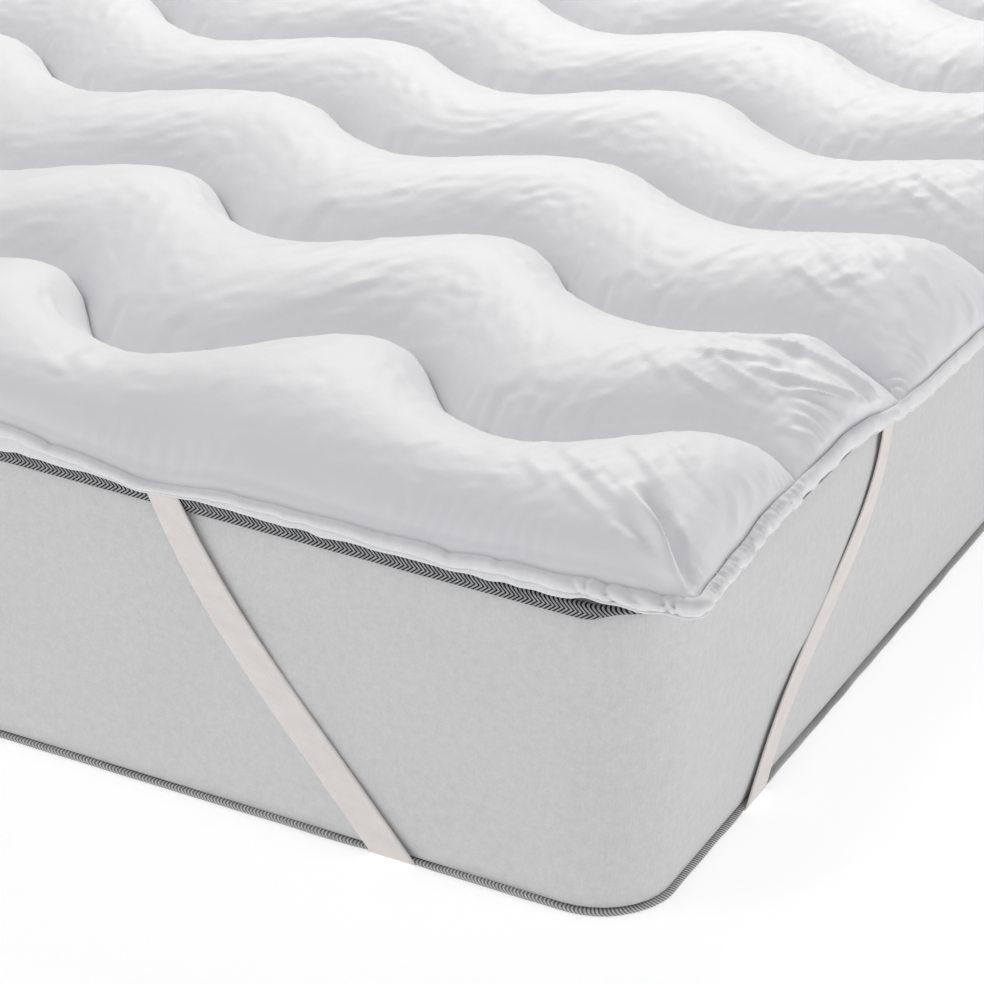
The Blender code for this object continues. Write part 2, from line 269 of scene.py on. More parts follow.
def dress(piece: bpy.types.Object, material: bpy.types.Material, node: str) -> None:
    """Gives a piece its finish and its place in the frame.

    Args:
        piece: The finished object.
        material: Its material.
        node: The CAD node that the piece stands for.
    """
    piece.data.materials.clear()
    piece.data.materials.append(material)
    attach(piece, BODY)
    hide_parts(node)
    log.info("%s: %d faces", piece.name, len(piece.data.polygons))


@dataclass(frozen=True)
class Bed:
    """The mattress's own sizes, as the CAD frame has them."""

    half_width: float
    half_length: float
    height: float
    corner: float = 0.065

    @classmethod
    def measured(cls) -> "Bed":
        """Reads the mattress's box from the frame."""
        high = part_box("mattress")[1]
        return cls(high.x, high.y, high.z)


@dataclass(frozen=True)
class Outline:
    """A rectangle with round corners, walked anticlockwise from the foot's left end."""

    half_x: float
    half_y: float
    radius: float

    def length(self) -> float:
        """The whole way round."""
        straight = 4 * (self.half_x + self.half_y - 2 * self.radius)
        return straight + FULL_TURN * self.radius

    def walk(self, distance: np.ndarray) -> tuple[np.ndarray, np.ndarray]:
        """Finds places on the outline.

        Args:
            distance: How far each place is along the walk.

        Returns:
            The places, and the directions that point outwards from them.
        """
        distance = np.mod(distance, self.length())
        place = np.zeros((len(distance), 2))
        outwards = np.zeros((len(distance), 2))
        start = 0.0
        for side in range(4):
            heading = np.array((math.cos(side * math.pi / 2), math.sin(side * math.pi / 2)))
            out = np.array((heading[1], -heading[0]))
            reach_x, reach_y = (self.half_x, self.half_y)[:: 1 if side % 2 == 0 else -1]
            run = 2 * (reach_x - self.radius)
            on_side = (distance >= start) & (distance <= start + run)
            along = distance[on_side, None] - start - run / 2
            place[on_side] = heading * along + out * reach_y
            outwards[on_side] = out
            start += run
            arc = self.radius * math.pi / 2
            on_arc = (distance > start) & (distance < start + arc)
            turn = (distance[on_arc, None] - start) / self.radius
            bent = out * np.cos(turn) + heading * np.sin(turn)
            centre = heading * run / 2 + out * (reach_y - self.radius)
            place[on_arc] = centre + self.radius * bent
            outwards[on_arc] = bent
            start += arc
        return place, outwards


def band(
    name: str,
    outline: Outline,
    step: float,
    profile_steps: int,
    shape: Callable[[np.ndarray, np.ndarray, np.ndarray], tuple[np.ndarray, np.ndarray]],
    girth: float,
) -> bpy.types.Mesh:
    """A closed band that runs round an outline.

    Args:
        name: The mesh's name.
        outline: The path that it follows.
        step: The length of a face along the path.
        profile_steps: How many faces go round its cross-section.
        shape: Gives how far outwards and how high each point lies, from its distance
            along the path, its place on the path and its turn round the section.
        girth: The length round the section in metres, for the UV map.

    Returns:
        The mesh, closed along its length and round its section.
    """
    stations = round(outline.length() / step)

    def place(column: np.ndarray, row: np.ndarray) -> np.ndarray:
        """Puts each point of the band in its place."""
        distance = column * (outline.length() / stations)
        where, outwards = outline.walk(distance)
        out, up = shape(distance, where, row * (FULL_TURN / profile_steps))
        flat = where + outwards * out[:, None]
        return np.column_stack((flat, up))

    mesh = cloth_grid(name, stations, profile_steps, place, (outline.length(), girth))
    build = bmesh.new()
    build.from_mesh(mesh)
    bmesh.ops.remove_doubles(build, verts=build.verts, dist=MERGE_DISTANCE)
    bmesh.ops.recalc_face_normals(build, faces=build.faces)
    build.to_mesh(mesh)
    build.free()
    mesh.shade_smooth()
    return mesh


# --- Finishes ---


# The share of a cloth's light colour, and its bumped normal.
Pattern = tuple[bpy.types.NodeSocket, bpy.types.NodeSocket]


@dataclass(frozen=True)
class Finish:
    """A cloth's finish: two close colours, its gloss, and a pattern of its own."""

    name: str
    light: str
    shade: str
    roughness: float
    specular: float
    sheen: float = 0.0
    sheen_roughness: float = 0.5

    def pattern(self, tree: bpy.types.NodeTree) -> Pattern:
        """Adds the nodes of the cloth's own pattern.

        Args:
            tree: The material's node tree.

        Returns:
            The share of the light colour, and the bumped normal.
        """
        raise NotImplementedError

    def material(self) -> bpy.types.Material:
        """Builds the node material.

        Returns:
            The material.
        """
        material, tree, shader = new_material(self.name)
        share, normal = self.pattern(tree)
        colour = add_node(
            tree,
            "ShaderNodeMix",
            {"data_type": "RGBA"},
            {MIX_FIRST: linear(self.shade), MIX_SECOND: linear(self.light)},
            {0: share},
        )
        tree.links.new(colour.outputs[MIX_COLOUR], shader.inputs["Base Color"])
        tree.links.new(normal, shader.inputs["Normal"])
        shader.inputs["Roughness"].default_value = self.roughness
        shader.inputs["Specular IOR Level"].default_value = self.specular
        shader.inputs["Sheen Weight"].default_value = self.sheen
        shader.inputs["Sheen Roughness"].default_value = self.sheen_roughness
        return material


@dataclass(frozen=True)
class Microfibre(Finish):
    """Brushed polyester microfibre, calendered: a soft satin white with fine creases."""

    name: str = "polyester_microfibre_calendered"
    light: str = "#F5F5F5"
    shade: str = "#EEEEF1"
    roughness: float = 0.52
    specular: float = 0.35
    sheen: float = 0.18
    sheen_roughness: float = 0.4
    tint_span: float = 0.16
    crease_span: float = 0.011
    crease_depth: float = 0.00045
    slub_span: float = 0.00798
    slub_depth: float = 0.00004

    def pattern(self, tree: bpy.types.NodeTree) -> Pattern:
        """Adds a slow tint, fine creases and a slub, as Finish says."""
        place = add_node(tree, "ShaderNodeTexCoord").outputs["Object"]
        tint = add_node(
            tree,
            "ShaderNodeTexNoise",
            values={"Scale": 1 / self.tint_span, "Detail": 3.0},
            links={"Vector": place},
        )
        creases = add_node(
            tree,
            "ShaderNodeTexNoise",
            values={"Scale": 1 / self.crease_span, "Detail": 4.0, "Distortion": 0.6},
            links={"Vector": place},
        )
        creased = add_node(
            tree,
            "ShaderNodeBump",
            values={"Strength": 0.5, "Distance": self.crease_depth},
            links={"Height": creases.outputs["Fac"]},
        )
        # The threads are 0.2 mm apart, too fine to show. What shows of them is a faint
        # slanting slub, where the yarn is uneven.
        scale = FULL_TURN / (SLANTING_BANDS * self.slub_span)
        slub = add_node(
            tree,
            "ShaderNodeTexWave",
            {"bands_direction": "DIAGONAL"},
            {"Scale": scale, "Distortion": 2.0, "Detail": 1.0},
            {"Vector": place},
        )
        woven = add_node(
            tree,
            "ShaderNodeBump",
            values={"Strength": 0.4, "Distance": self.slub_depth},
            links={"Height": slub.outputs["Fac"], "Normal": creased.outputs["Normal"]},
        )
        return tint.outputs["Fac"], woven.outputs["Normal"]


@dataclass(frozen=True)
class BindingCloth(Finish):
    """Plain-woven polyester strip, folded and sewn: matt white, cross creases with painted shade."""

    name: str = "polyester_binding_woven"
    light: str = "#F0F0F0"
    shade: str = "#E0E0E1"
    roughness: float = 0.7
    specular: float = 0.3
    sheen: float = 0.15
    crease_span: float = 0.006
    crease_stretch: float = 0.25
    crease_depth: float = 0.0007

    def pattern(self, tree: bpy.types.NodeTree) -> Pattern:
        """Adds creases across the strip's UV map, with painted shade in their hollows, as Finish says.
        """
        strip = add_node(tree, "ShaderNodeTexCoord").outputs["UV"]
        scale = (1 / self.crease_span, self.crease_stretch / self.crease_span, 1.0)
        along = add_node(tree, "ShaderNodeMapping", values={"Scale": scale}, links={"Vector": strip})
        creases = add_node(
            tree,
            "ShaderNodeTexNoise",
            values={"Scale": 1.0, "Detail": 3.0, "Distortion": 0.4},
            links={"Vector": along.outputs["Vector"]},
        )
        creased = add_node(
            tree,
            "ShaderNodeBump",
            values={"Strength": 0.5, "Distance": self.crease_depth},
            links={"Height": creases.outputs["Fac"]},
        )
        # The creases' height also sets the colour: their hollows take the darker colour, as painted
        # shade.
        return creases.outputs["Fac"], creased.outputs["Normal"]


@dataclass(frozen=True)
class HerringboneTape(Finish):
    """Polyester tape woven in a herringbone: near black, with pale slanting threads."""

    name: str = "polyester_tape_herringbone"
    light: str = "#BDBDBF"
    shade: str = "#161617"
    roughness: float = 0.75
    specular: float = 0.3
    pitch: float = 0.0036
    slant: float = 1.15
    thread_share: float = 0.42
    depth: float = 0.0003
    worn_places: float = 240.0

    def pattern(self, tree: bpy.types.NodeTree) -> Pattern:
        """Adds slanting threads along the tape's UV map, as Finish says."""
        strip = add_node(tree, "ShaderNodeTexCoord").outputs["UV"]
        split = add_node(tree, "ShaderNodeSeparateXYZ", links={"Vector": strip})
        # The height above the tape's middle, where the threads turn.
        across = add_node(
            tree, "ShaderNodeAttribute", {"attribute_type": "GEOMETRY", "attribute_name": "across"}
        )
        folded = add_node(
            tree, "ShaderNodeMath", {"operation": "ABSOLUTE"}, links={0: across.outputs["Fac"]}
        )
        slanted = add_node(
            tree,
            "ShaderNodeMath",
            {"operation": "MULTIPLY_ADD"},
            {1: self.slant},
            {0: folded.outputs[0], 2: split.outputs["X"]},
        )
        turns = add_node(
            tree,
            "ShaderNodeMath",
            {"operation": "MULTIPLY"},
            {1: FULL_TURN / self.pitch},
            {0: slanted.outputs[0]},
        )
        wave = add_node(tree, "ShaderNodeMath", {"operation": "SINE"}, links={0: turns.outputs[0]})
        threads = add_node(
            tree,
            "ShaderNodeMapRange",
            {"interpolation_type": "SMOOTHSTEP"},
            {"From Min": -self.thread_share, "From Max": self.thread_share},
            {"Value": wave.outputs[0]},
        )
        wear = add_node(
            tree,
            "ShaderNodeTexNoise",
            values={"Scale": self.worn_places, "Detail": 2.0},
            links={"Vector": strip},
        )
        worn = add_node(
            tree,
            "ShaderNodeMapRange",
            values={"From Min": 0.3, "From Max": 0.75, "To Min": 0.6, "To Max": 1.0},
            links={"Value": wear.outputs["Fac"]},
        )
        shown = add_node(
            tree,
            "ShaderNodeMath",
            {"operation": "MULTIPLY"},
            links={0: threads.outputs["Result"], 1: worn.outputs["Result"]},
        )
        raised = add_node(
            tree,
            "ShaderNodeBump",
            values={"Strength": 0.6, "Distance": self.depth},
            links={"Height": threads.outputs["Result"]},
        )
        return shown.outputs[0], raised.outputs["Normal"]


@dataclass(frozen=True)
class WovenElastic(Finish):
    """Woven elastic webbing: ivory, with fine ribs along it and a faint cross weave."""

    name: str = "elastic_webbing_woven"
    light: str = "#F1ECE8"
    shade: str = "#E0DAD6"
    roughness: float = 0.8
    specular: float = 0.25
    sheen: float = 0.1
    # The real ribs are about 1 mm apart; they are drawn coarser, to show.
    rib: float = 0.0032
    pick: float = 0.0022
    depth: float = 0.00025
    weave_share: float = 0.4
    tinted_places: float = 60.0

    def pattern(self, tree: bpy.types.NodeTree) -> Pattern:
        """Adds ribs and picks on the strap's UV map, as Finish says."""
        strip = add_node(tree, "ShaderNodeTexCoord").outputs["UV"]
        ribs = add_node(
            tree,
            "ShaderNodeTexWave",
            {"bands_direction": "Y"},
            {"Scale": FULL_TURN / (STRAIGHT_BANDS * self.rib), "Distortion": 0.3},
            {"Vector": strip},
        )
        picks = add_node(
            tree,
            "ShaderNodeTexWave",
            {"bands_direction": "X"},
            {"Scale": FULL_TURN / (STRAIGHT_BANDS * self.pick), "Distortion": 0.5},
            {"Vector": strip},
        )
        weave = add_node(
            tree,
            "ShaderNodeMath",
            {"operation": "MULTIPLY"},
            links={0: ribs.outputs["Fac"], 1: picks.outputs["Fac"]},
        )
        tint = add_node(
            tree,
            "ShaderNodeTexNoise",
            values={"Scale": self.tinted_places, "Detail": 3.0},
            links={"Vector": strip},
        )
        mixed = add_node(
            tree,
            "ShaderNodeMath",
            {"operation": "MULTIPLY_ADD"},
            {1: self.weave_share},
            {0: weave.outputs[0], 2: tint.outputs["Fac"]},
        )
        raised = add_node(
            tree,
            "ShaderNodeBump",
            values={"Strength": 0.5, "Distance": self.depth},
            links={"Height": weave.outputs[0]},
        )
        return mixed.outputs[0], raised.outputs["Normal"]


@dataclass(frozen=True)
class BorderKnit(Finish):
    """Polyester border fabric, circular-knitted: pale grey, mottled, with a soft nap."""

    name: str = "polyester_border_knitted"
    light: str = "#DEDEDE"
    shade: str = "#D2D2D2"
    roughness: float = 0.9
    specular: float = 0.2
    sheen: float = 0.2
    # The real stitches are about 1 mm apart; they are drawn coarser, to show.
    stitch: float = 0.0022
    stitch_share: float = -0.45
    shown_to: float = 0.6
    depth: float = 0.0004
    mottle_span: float = 0.007

    def pattern(self, tree: bpy.types.NodeTree) -> Pattern:
        """Adds stitches and a mottle, as Finish says."""
        place = add_node(tree, "ShaderNodeTexCoord").outputs["Object"]
        mottle = add_node(
            tree,
            "ShaderNodeTexNoise",
            values={"Scale": 1 / self.mottle_span, "Detail": 4.0, "Roughness": 0.6},
            links={"Vector": place},
        )
        loops = add_node(
            tree,
            "ShaderNodeTexVoronoi",
            {"feature": "F1"},
            {"Scale": 1 / self.stitch, "Randomness": 0.55},
            {"Vector": place},
        )
        knit = add_node(
            tree,
            "ShaderNodeMath",
            {"operation": "MULTIPLY_ADD"},
            {1: self.stitch_share},
            {0: loops.outputs["Distance"], 2: mottle.outputs["Fac"]},
        )
        shown = add_node(
            tree,
            "ShaderNodeMapRange",
            values={"From Min": 0.0, "From Max": self.shown_to},
            links={"Value": knit.outputs[0]},
        )
        raised = add_node(
            tree,
            "ShaderNodeBump",
            values={"Strength": 0.5, "Distance": self.depth},
            links={"Height": knit.outputs[0]},
        )
        return shown.outputs["Result"], raised.outputs["Normal"]


# --- The quilted pad ---


@dataclass(frozen=True)
class SewingLine:
    """One wavy sewing line, in the CAD's own terms.

    stray is how far it lies off the even pitch. swing is how far it waves to each side
    at the right-hand edge, and far_swing at the drift span in from there. lean is how
    far it has moved up the bed by then, and bend how far it bows up half way. wave is
    the length of one wave and crest how far its first crest lies from the right-hand
    edge. peak sharpens the crests. pull is how far the straps draw its ends up the bed,
    and reach how far in that is felt.
    """

    stray: float
    swing: float
    far_swing: float
    lean: float
    bend: float
    wave: float
    crest: float
    peak: float = 0.0
    pull: float = 0.0
    reach: float = 0.100


@dataclass(frozen=True)
class CornerSpot:
    """A corner of the bed: which way it faces across and along the bed."""

    name: str
    side_x: int
    side_y: int


CORNERS = (
    CornerSpot("foot_right", 1, -1),
    CornerSpot("foot_left", -1, -1),
    CornerSpot("head_right", 1, 1),
    CornerSpot("head_left", -1, 1),
)


@dataclass(frozen=True)
class EdgeMark:
    """The quilt's edge and its binding at one distance from the bed's corner.

    outwards is how far the edge stands out from the plain one and top how high the
    binding's roll rises above the mattress. roll and fold are the heights of the roll and
    of the flat fold below it.
    """

    distance: float
    outwards: float
    top: float
    roll: float
    fold: float


# Along the foot and the head, from either corner to the middle.
END_MARKS = (
    EdgeMark(0.000, -0.0060, 0.0262, 0.0128, 0.0025),
    EdgeMark(0.050, -0.0020, 0.0236, 0.0124, 0.0025),
    EdgeMark(0.085, 0.0, 0.0218, 0.0108, 0.0060),
    EdgeMark(0.127, 0.0, 0.0206, 0.0102, 0.0076),
    EdgeMark(0.165, 0.0, 0.0172, 0.0110, 0.0030),
    EdgeMark(0.208, 0.0, 0.0166, 0.0104, 0.0030),
    EdgeMark(0.270, 0.0, 0.0162, 0.0078, 0.0068),
    EdgeMark(0.345, 0.0, 0.0154, 0.0070, 0.0064),
    EdgeMark(0.376, 0.0, 0.0136, 0.0070, 0.0030),
    EdgeMark(0.405, 0.0, 0.0082, 0.0056, 0.0020),
    EdgeMark(0.426, 0.0, 0.0064, 0.0072, 0.0020),
    EdgeMark(0.464, 0.0, 0.0130, 0.0084, 0.0025),
    EdgeMark(0.508, 0.0, 0.0176, 0.0088, 0.0080),
    EdgeMark(0.553, 0.0, 0.0236, 0.0100, 0.0115),
    EdgeMark(0.700, 0.0, 0.0248, 0.0104, 0.0120),
)
# Along the sides: gathered beside the corner, an arch up to the strap, then flat.
SIDE_MARKS = (
    EdgeMark(0.000, 0.0150, 0.0262, 0.0125, 0.0025),
    EdgeMark(0.050, 0.0090, 0.0225, 0.0130, 0.0020),
    EdgeMark(0.110, 0.0040, 0.0200, 0.0150, 0.0020),
    EdgeMark(0.175, 0.0, 0.0235, 0.0165, 0.0020),
    EdgeMark(0.226, 0.0, 0.0220, 0.0150, 0.0020),
    EdgeMark(0.290, 0.0010, 0.0222, 0.0150, 0.0020),
    EdgeMark(0.340, 0.0030, 0.0258, 0.0160, 0.0020),
    EdgeMark(0.370, 0.0070, 0.0256, 0.0155, 0.0020),
    EdgeMark(0.411, 0.0090, 0.0170, 0.0115, 0.0020),
    EdgeMark(0.426, 0.0085, 0.0136, 0.0090, 0.0020),
    EdgeMark(0.442, 0.0080, 0.0110, 0.0150, 0.0020),
    EdgeMark(0.499, 0.0120, 0.0108, 0.0165, 0.0020),
    EdgeMark(0.576, 0.0120, 0.0083, 0.0160, 0.0020),
    EdgeMark(0.640, 0.0120, 0.0054, 0.0160, 0.0020),
    EdgeMark(0.950, 0.0120, 0.0050, 0.0160, 0.0020),
)


@dataclass(frozen=True)
class EdgeHang:
    """How the quilt's edge hangs round the bed, the same at all four corners."""

    bed: Bed
    evening: float = 0.006
    reach_side: float = 0.055
    reach_end: float = 0.090
    corner_mix: float = 0.030
    roll_over_seam: float = 0.0040
    seam_height: float = 0.0130
    least_seam: float = 0.0022

    def mark(self, marks: tuple[EdgeMark, ...], distance: np.ndarray, part: str) -> np.ndarray:
        """Reads one part of the marks, evened out.

        Args:
            marks: The marks along a side or an end.
            distance: Distances from the corner.
            part: The name of the part.

        Returns:
            The part's value at each distance.
        """
        places = [mark.distance for mark in marks]
        values = [getattr(mark, part) for mark in marks]
        steps = self.evening * np.arange(-2, 3)
        return sum(np.interp(distance + step, places, values) for step in steps) / len(steps)

    def from_edges(self, x: np.ndarray, y: np.ndarray) -> tuple[np.ndarray, np.ndarray]:
        """How far places lie in from the sides, and from the foot or the head."""
        return self.bed.half_width - np.abs(x), self.bed.half_length - np.abs(y)

    def along_edge(self, x: np.ndarray, y: np.ndarray, part: str) -> np.ndarray:
        """Reads one part of the marks for places on the edge, blended round the corners.

        Args:
            x: The places across the bed.
            y: The places along it.
            part: The name of the part.

        Returns:
            The part's value at each place.
        """
        from_side, from_end = self.from_edges(x, y)
        on_end = smooth_step(0.5 + (from_side - from_end) / self.corner_mix)
        ends = self.mark(END_MARKS, from_side, part)
        return ends * on_end + self.mark(SIDE_MARKS, from_end, part) * (1 - on_end)

    def outwards(self, x: np.ndarray, y: np.ndarray) -> tuple[np.ndarray, np.ndarray]:
        """Finds how far places move out with the edge, less away from it.

        Args:
            x: The places across the bed.
            y: The places along it.

        Returns:
            The moves across the bed and along it.
        """
        from_side, from_end = self.from_edges(x, y)
        by_side = smooth_step(1 - np.maximum(from_side, 0) / self.reach_side)
        by_end = smooth_step(1 - np.maximum(from_end, 0) / self.reach_side)
        move_x = np.sign(x) * by_side * self.mark(SIDE_MARKS, from_end, "outwards")
        move_y = np.sign(y) * by_end * self.mark(END_MARKS, from_side, "outwards")
        return move_x, move_y

    def lift(self, x: np.ndarray, y: np.ndarray) -> np.ndarray:
        """Finds how far the quilt's surface rises with its edge, less away from it.

        Args:
            x: The places across the bed.
            y: The places along it.

        Returns:
            The rise at each place.
        """
        from_side, from_end = self.from_edges(x, y)
        by_side = smooth_step(1 - np.maximum(from_side, 0) / self.reach_side)
        by_end = smooth_step(1 - np.maximum(from_end, 0) / self.reach_end)
        side = self.mark(SIDE_MARKS, from_end, "top") - self.roll_over_seam
        end = self.mark(END_MARKS, from_side, "top") - self.roll_over_seam
        side = np.maximum(side, self.least_seam) - self.seam_height
        end = np.maximum(end, self.least_seam) - self.seam_height
        return (side * by_side + end * by_end) / np.maximum(by_side + by_end, 1.0)


@dataclass(frozen=True)
class Crease:
    """A fold in the cover: its middle, heading, length, width, depth and bow.

    The heading is in degrees anticlockwise from +X. A depth below 0 makes a ridge. The
    lean shifts the fold's weight to one side, as cloth that is drawn over does.
    """

    x: float
    y: float
    heading: float
    length: float
    width: float
    depth: float
    bow: float = 0.0
    lean: float = 0.6
    shoulder_at: float = 1.5
    fade_power: float = 0.6

    def depth_at(self, x: np.ndarray, y: np.ndarray) -> np.ndarray:
        """Finds how far the fold moves the cover outwards.

        Args:
            x: The places across the bed.
            y: The places along it.

        Returns:
            The move at each place.
        """
        turn = math.radians(self.heading)
        along = (x - self.x) * math.cos(turn) + (y - self.y) * math.sin(turn)
        aside = (y - self.y) * math.cos(turn) - (x - self.x) * math.sin(turn)
        share = 2 * along / self.length
        aside = (aside - self.bow * (1 - share * share)) / self.width
        fade = smooth_step(1 - np.abs(share)) ** self.fade_power
        valley = np.exp(-aside * aside)
        shoulder = np.exp(-((aside - self.shoulder_at) ** 2))
        return -self.depth * (valley - self.lean * shoulder) * fade


@dataclass(frozen=True)
class Fold:
    """A crisp ridge in the cover, drawn through a few points of one channel.

    Each point is how far it lies from a mark across the bed, in metres, and its share of
    the channel's width. The mark is a crest of the channel's lower line, or the bed's side.
    """

    points: tuple[tuple[float, float], ...]
    width: float
    height: float
    steps: int = 25
    # In widths: how round the ridge is, and the hollow on its lower side.
    tip: float = 0.3
    hollow_at: float = 2.0
    hollow_half: float = 1.2
    hollow_share: float = 0.5
    end_half: float = 1.5
    fade_power: float = 0.7

    def section(self, aside: np.ndarray, beyond: np.ndarray) -> np.ndarray:
        """Gives the ridge's height for its full height of 1.

        Args:
            aside: Distances to the left of the fold, in widths.
            beyond: Distances past its nearest point along it, in widths.

        Returns:
            The height at each place.
        """
        crest = np.exp(self.tip - np.sqrt(aside**2 + self.tip**2))
        hollow = np.exp(-(((aside + self.hollow_at) / self.hollow_half) ** 2))
        return (crest - self.hollow_share * hollow) * np.exp(-((beyond / self.end_half) ** 2))

    def path(self) -> np.ndarray:
        """Draws the fold as one curve through its points.

        Returns:
            Rows of distance from the mark and share of the channel's width.
        """
        marks = np.linspace(0, 1, len(self.points))
        along = np.linspace(0, 1, self.steps)
        degree = len(self.points) - 1
        typed = np.array(self.points)
        return np.column_stack(
            [np.polyval(np.polyfit(marks, typed[:, axis], degree), along) for axis in (0, 1)]
        )


# Folds that rise over a channel from its lower line, measured from that line's crest.
CREST_FOLDS = (
    Fold(((0.013, 0.04), (0.050, 0.15), (0.088, 0.48), (0.114, 0.68)), 0.0050, 0.0024),
    Fold(((0.018, 0.04), (0.030, 0.10), (0.042, 0.20)), 0.0035, 0.0012),
    Fold(((0.136, 0.24), (0.149, 0.40), (0.164, 0.52)), 0.0040, 0.0016),
    Fold(((0.190, 0.25), (0.204, 0.28), (0.218, 0.31)), 0.0030, 0.0010),
    Fold(((-0.031, 0.25), (0.003, 0.31), (0.030, 0.45)), 0.0045, 0.0014),
    Fold(((-0.071, 0.15), (-0.047, 0.21), (-0.020, 0.30)), 0.0040, 0.0014),
    Fold(((0.048, 0.20), (0.058, 0.26), (0.068, 0.35)), 0.0035, 0.0013),
    Fold(((0.155, 0.21), (0.183, 0.41), (0.198, 0.55)), 0.0045, 0.0017),
    Fold(((0.039, 0.36), (0.059, 0.46), (0.077, 0.59)), 0.0040, -0.0010),
    Fold(((0.040, 0.50), (0.059, 0.61), (0.097, 0.76)), 0.0060, 0.0016),
    Fold(((0.015, 0.04), (0.039, 0.06), (0.062, 0.11)), 0.0030, -0.0009),
)
# Folds that fall from the crown over the quilt's side, measured inwards from the side.
SIDE_FOLDS = (
    Fold(((0.164, 0.77), (0.104, 0.36), (0.051, 0.21)), 0.0050, 0.0026),
    Fold(((0.148, 0.68), (0.106, 0.43), (0.053, 0.24)), 0.0035, 0.0014),
    Fold(((0.103, 0.60), (0.064, 0.40), (0.026, 0.30)), 0.0045, 0.0026),
    Fold(((0.093, 0.72), (0.051, 0.51), (0.020, 0.46)), 0.0045, 0.0024),
    Fold(((0.168, 0.52), (0.143, 0.36), (0.127, 0.27)), 0.0045, 0.0016),
    Fold(((0.135, 0.38), (0.106, 0.24), (0.077, 0.15)), 0.0040, 0.0018),
    Fold(((0.023, 0.62), (0.010, 0.66), (0.000, 0.63)), 0.0035, 0.0014),
    Fold(((0.020, 0.56), (0.007, 0.51), (0.000, 0.43)), 0.0035, 0.0016),
    Fold(((0.040, 0.86), (0.014, 0.81), (0.000, 0.74)), 0.0040, 0.0014),
    Fold(((0.036, 0.22), (0.012, 0.20), (0.000, 0.22)), 0.0035, 0.0012),
)
# Ridges that run together where a strap pulls, measured inwards from the side.
STRAP_FOLDS = (
    Fold(((0.127, 0.68), (0.073, 0.56), (0.027, 0.60), (0.002, 0.74)), 0.0060, 0.0034),
    Fold(((0.084, 0.36), (0.050, 0.34), (0.018, 0.46), (0.000, 0.71)), 0.0045, 0.0026),
    Fold(((0.060, 0.26), (0.028, 0.33), (0.008, 0.50), (0.000, 0.66)), 0.0035, 0.0020),
    Fold(((0.042, 0.30), (0.016, 0.40), (0.000, 0.58)), 0.0032, 0.0018),
    Fold(((0.040, 0.24), (0.012, 0.30), (0.000, 0.43)), 0.0032, 0.0017),
    Fold(((0.034, 0.18), (0.008, 0.26), (0.000, 0.35)), 0.0030, 0.0015),
    Fold(((0.036, 0.10), (0.010, 0.18), (0.000, 0.28)), 0.0030, 0.0013),
    Fold(((0.140, 0.50), (0.095, 0.42), (0.060, 0.42)), 0.0045, 0.0016),
    Fold(((0.110, 0.80), (0.060, 0.72), (0.020, 0.76)), 0.0045, 0.0016),
)


@dataclass(frozen=True)
class CornerFold:
    """A fold that runs in from a corner, turned by some degrees from the middle one."""

    turned: float
    length: float
    depth: float
    width: float


@dataclass(frozen=True)
class Puckers:
    """Small gathers along a seam: height, distance apart, reach, and how they sway."""

    height: float
    pitch: float
    reach: float
    sway: float


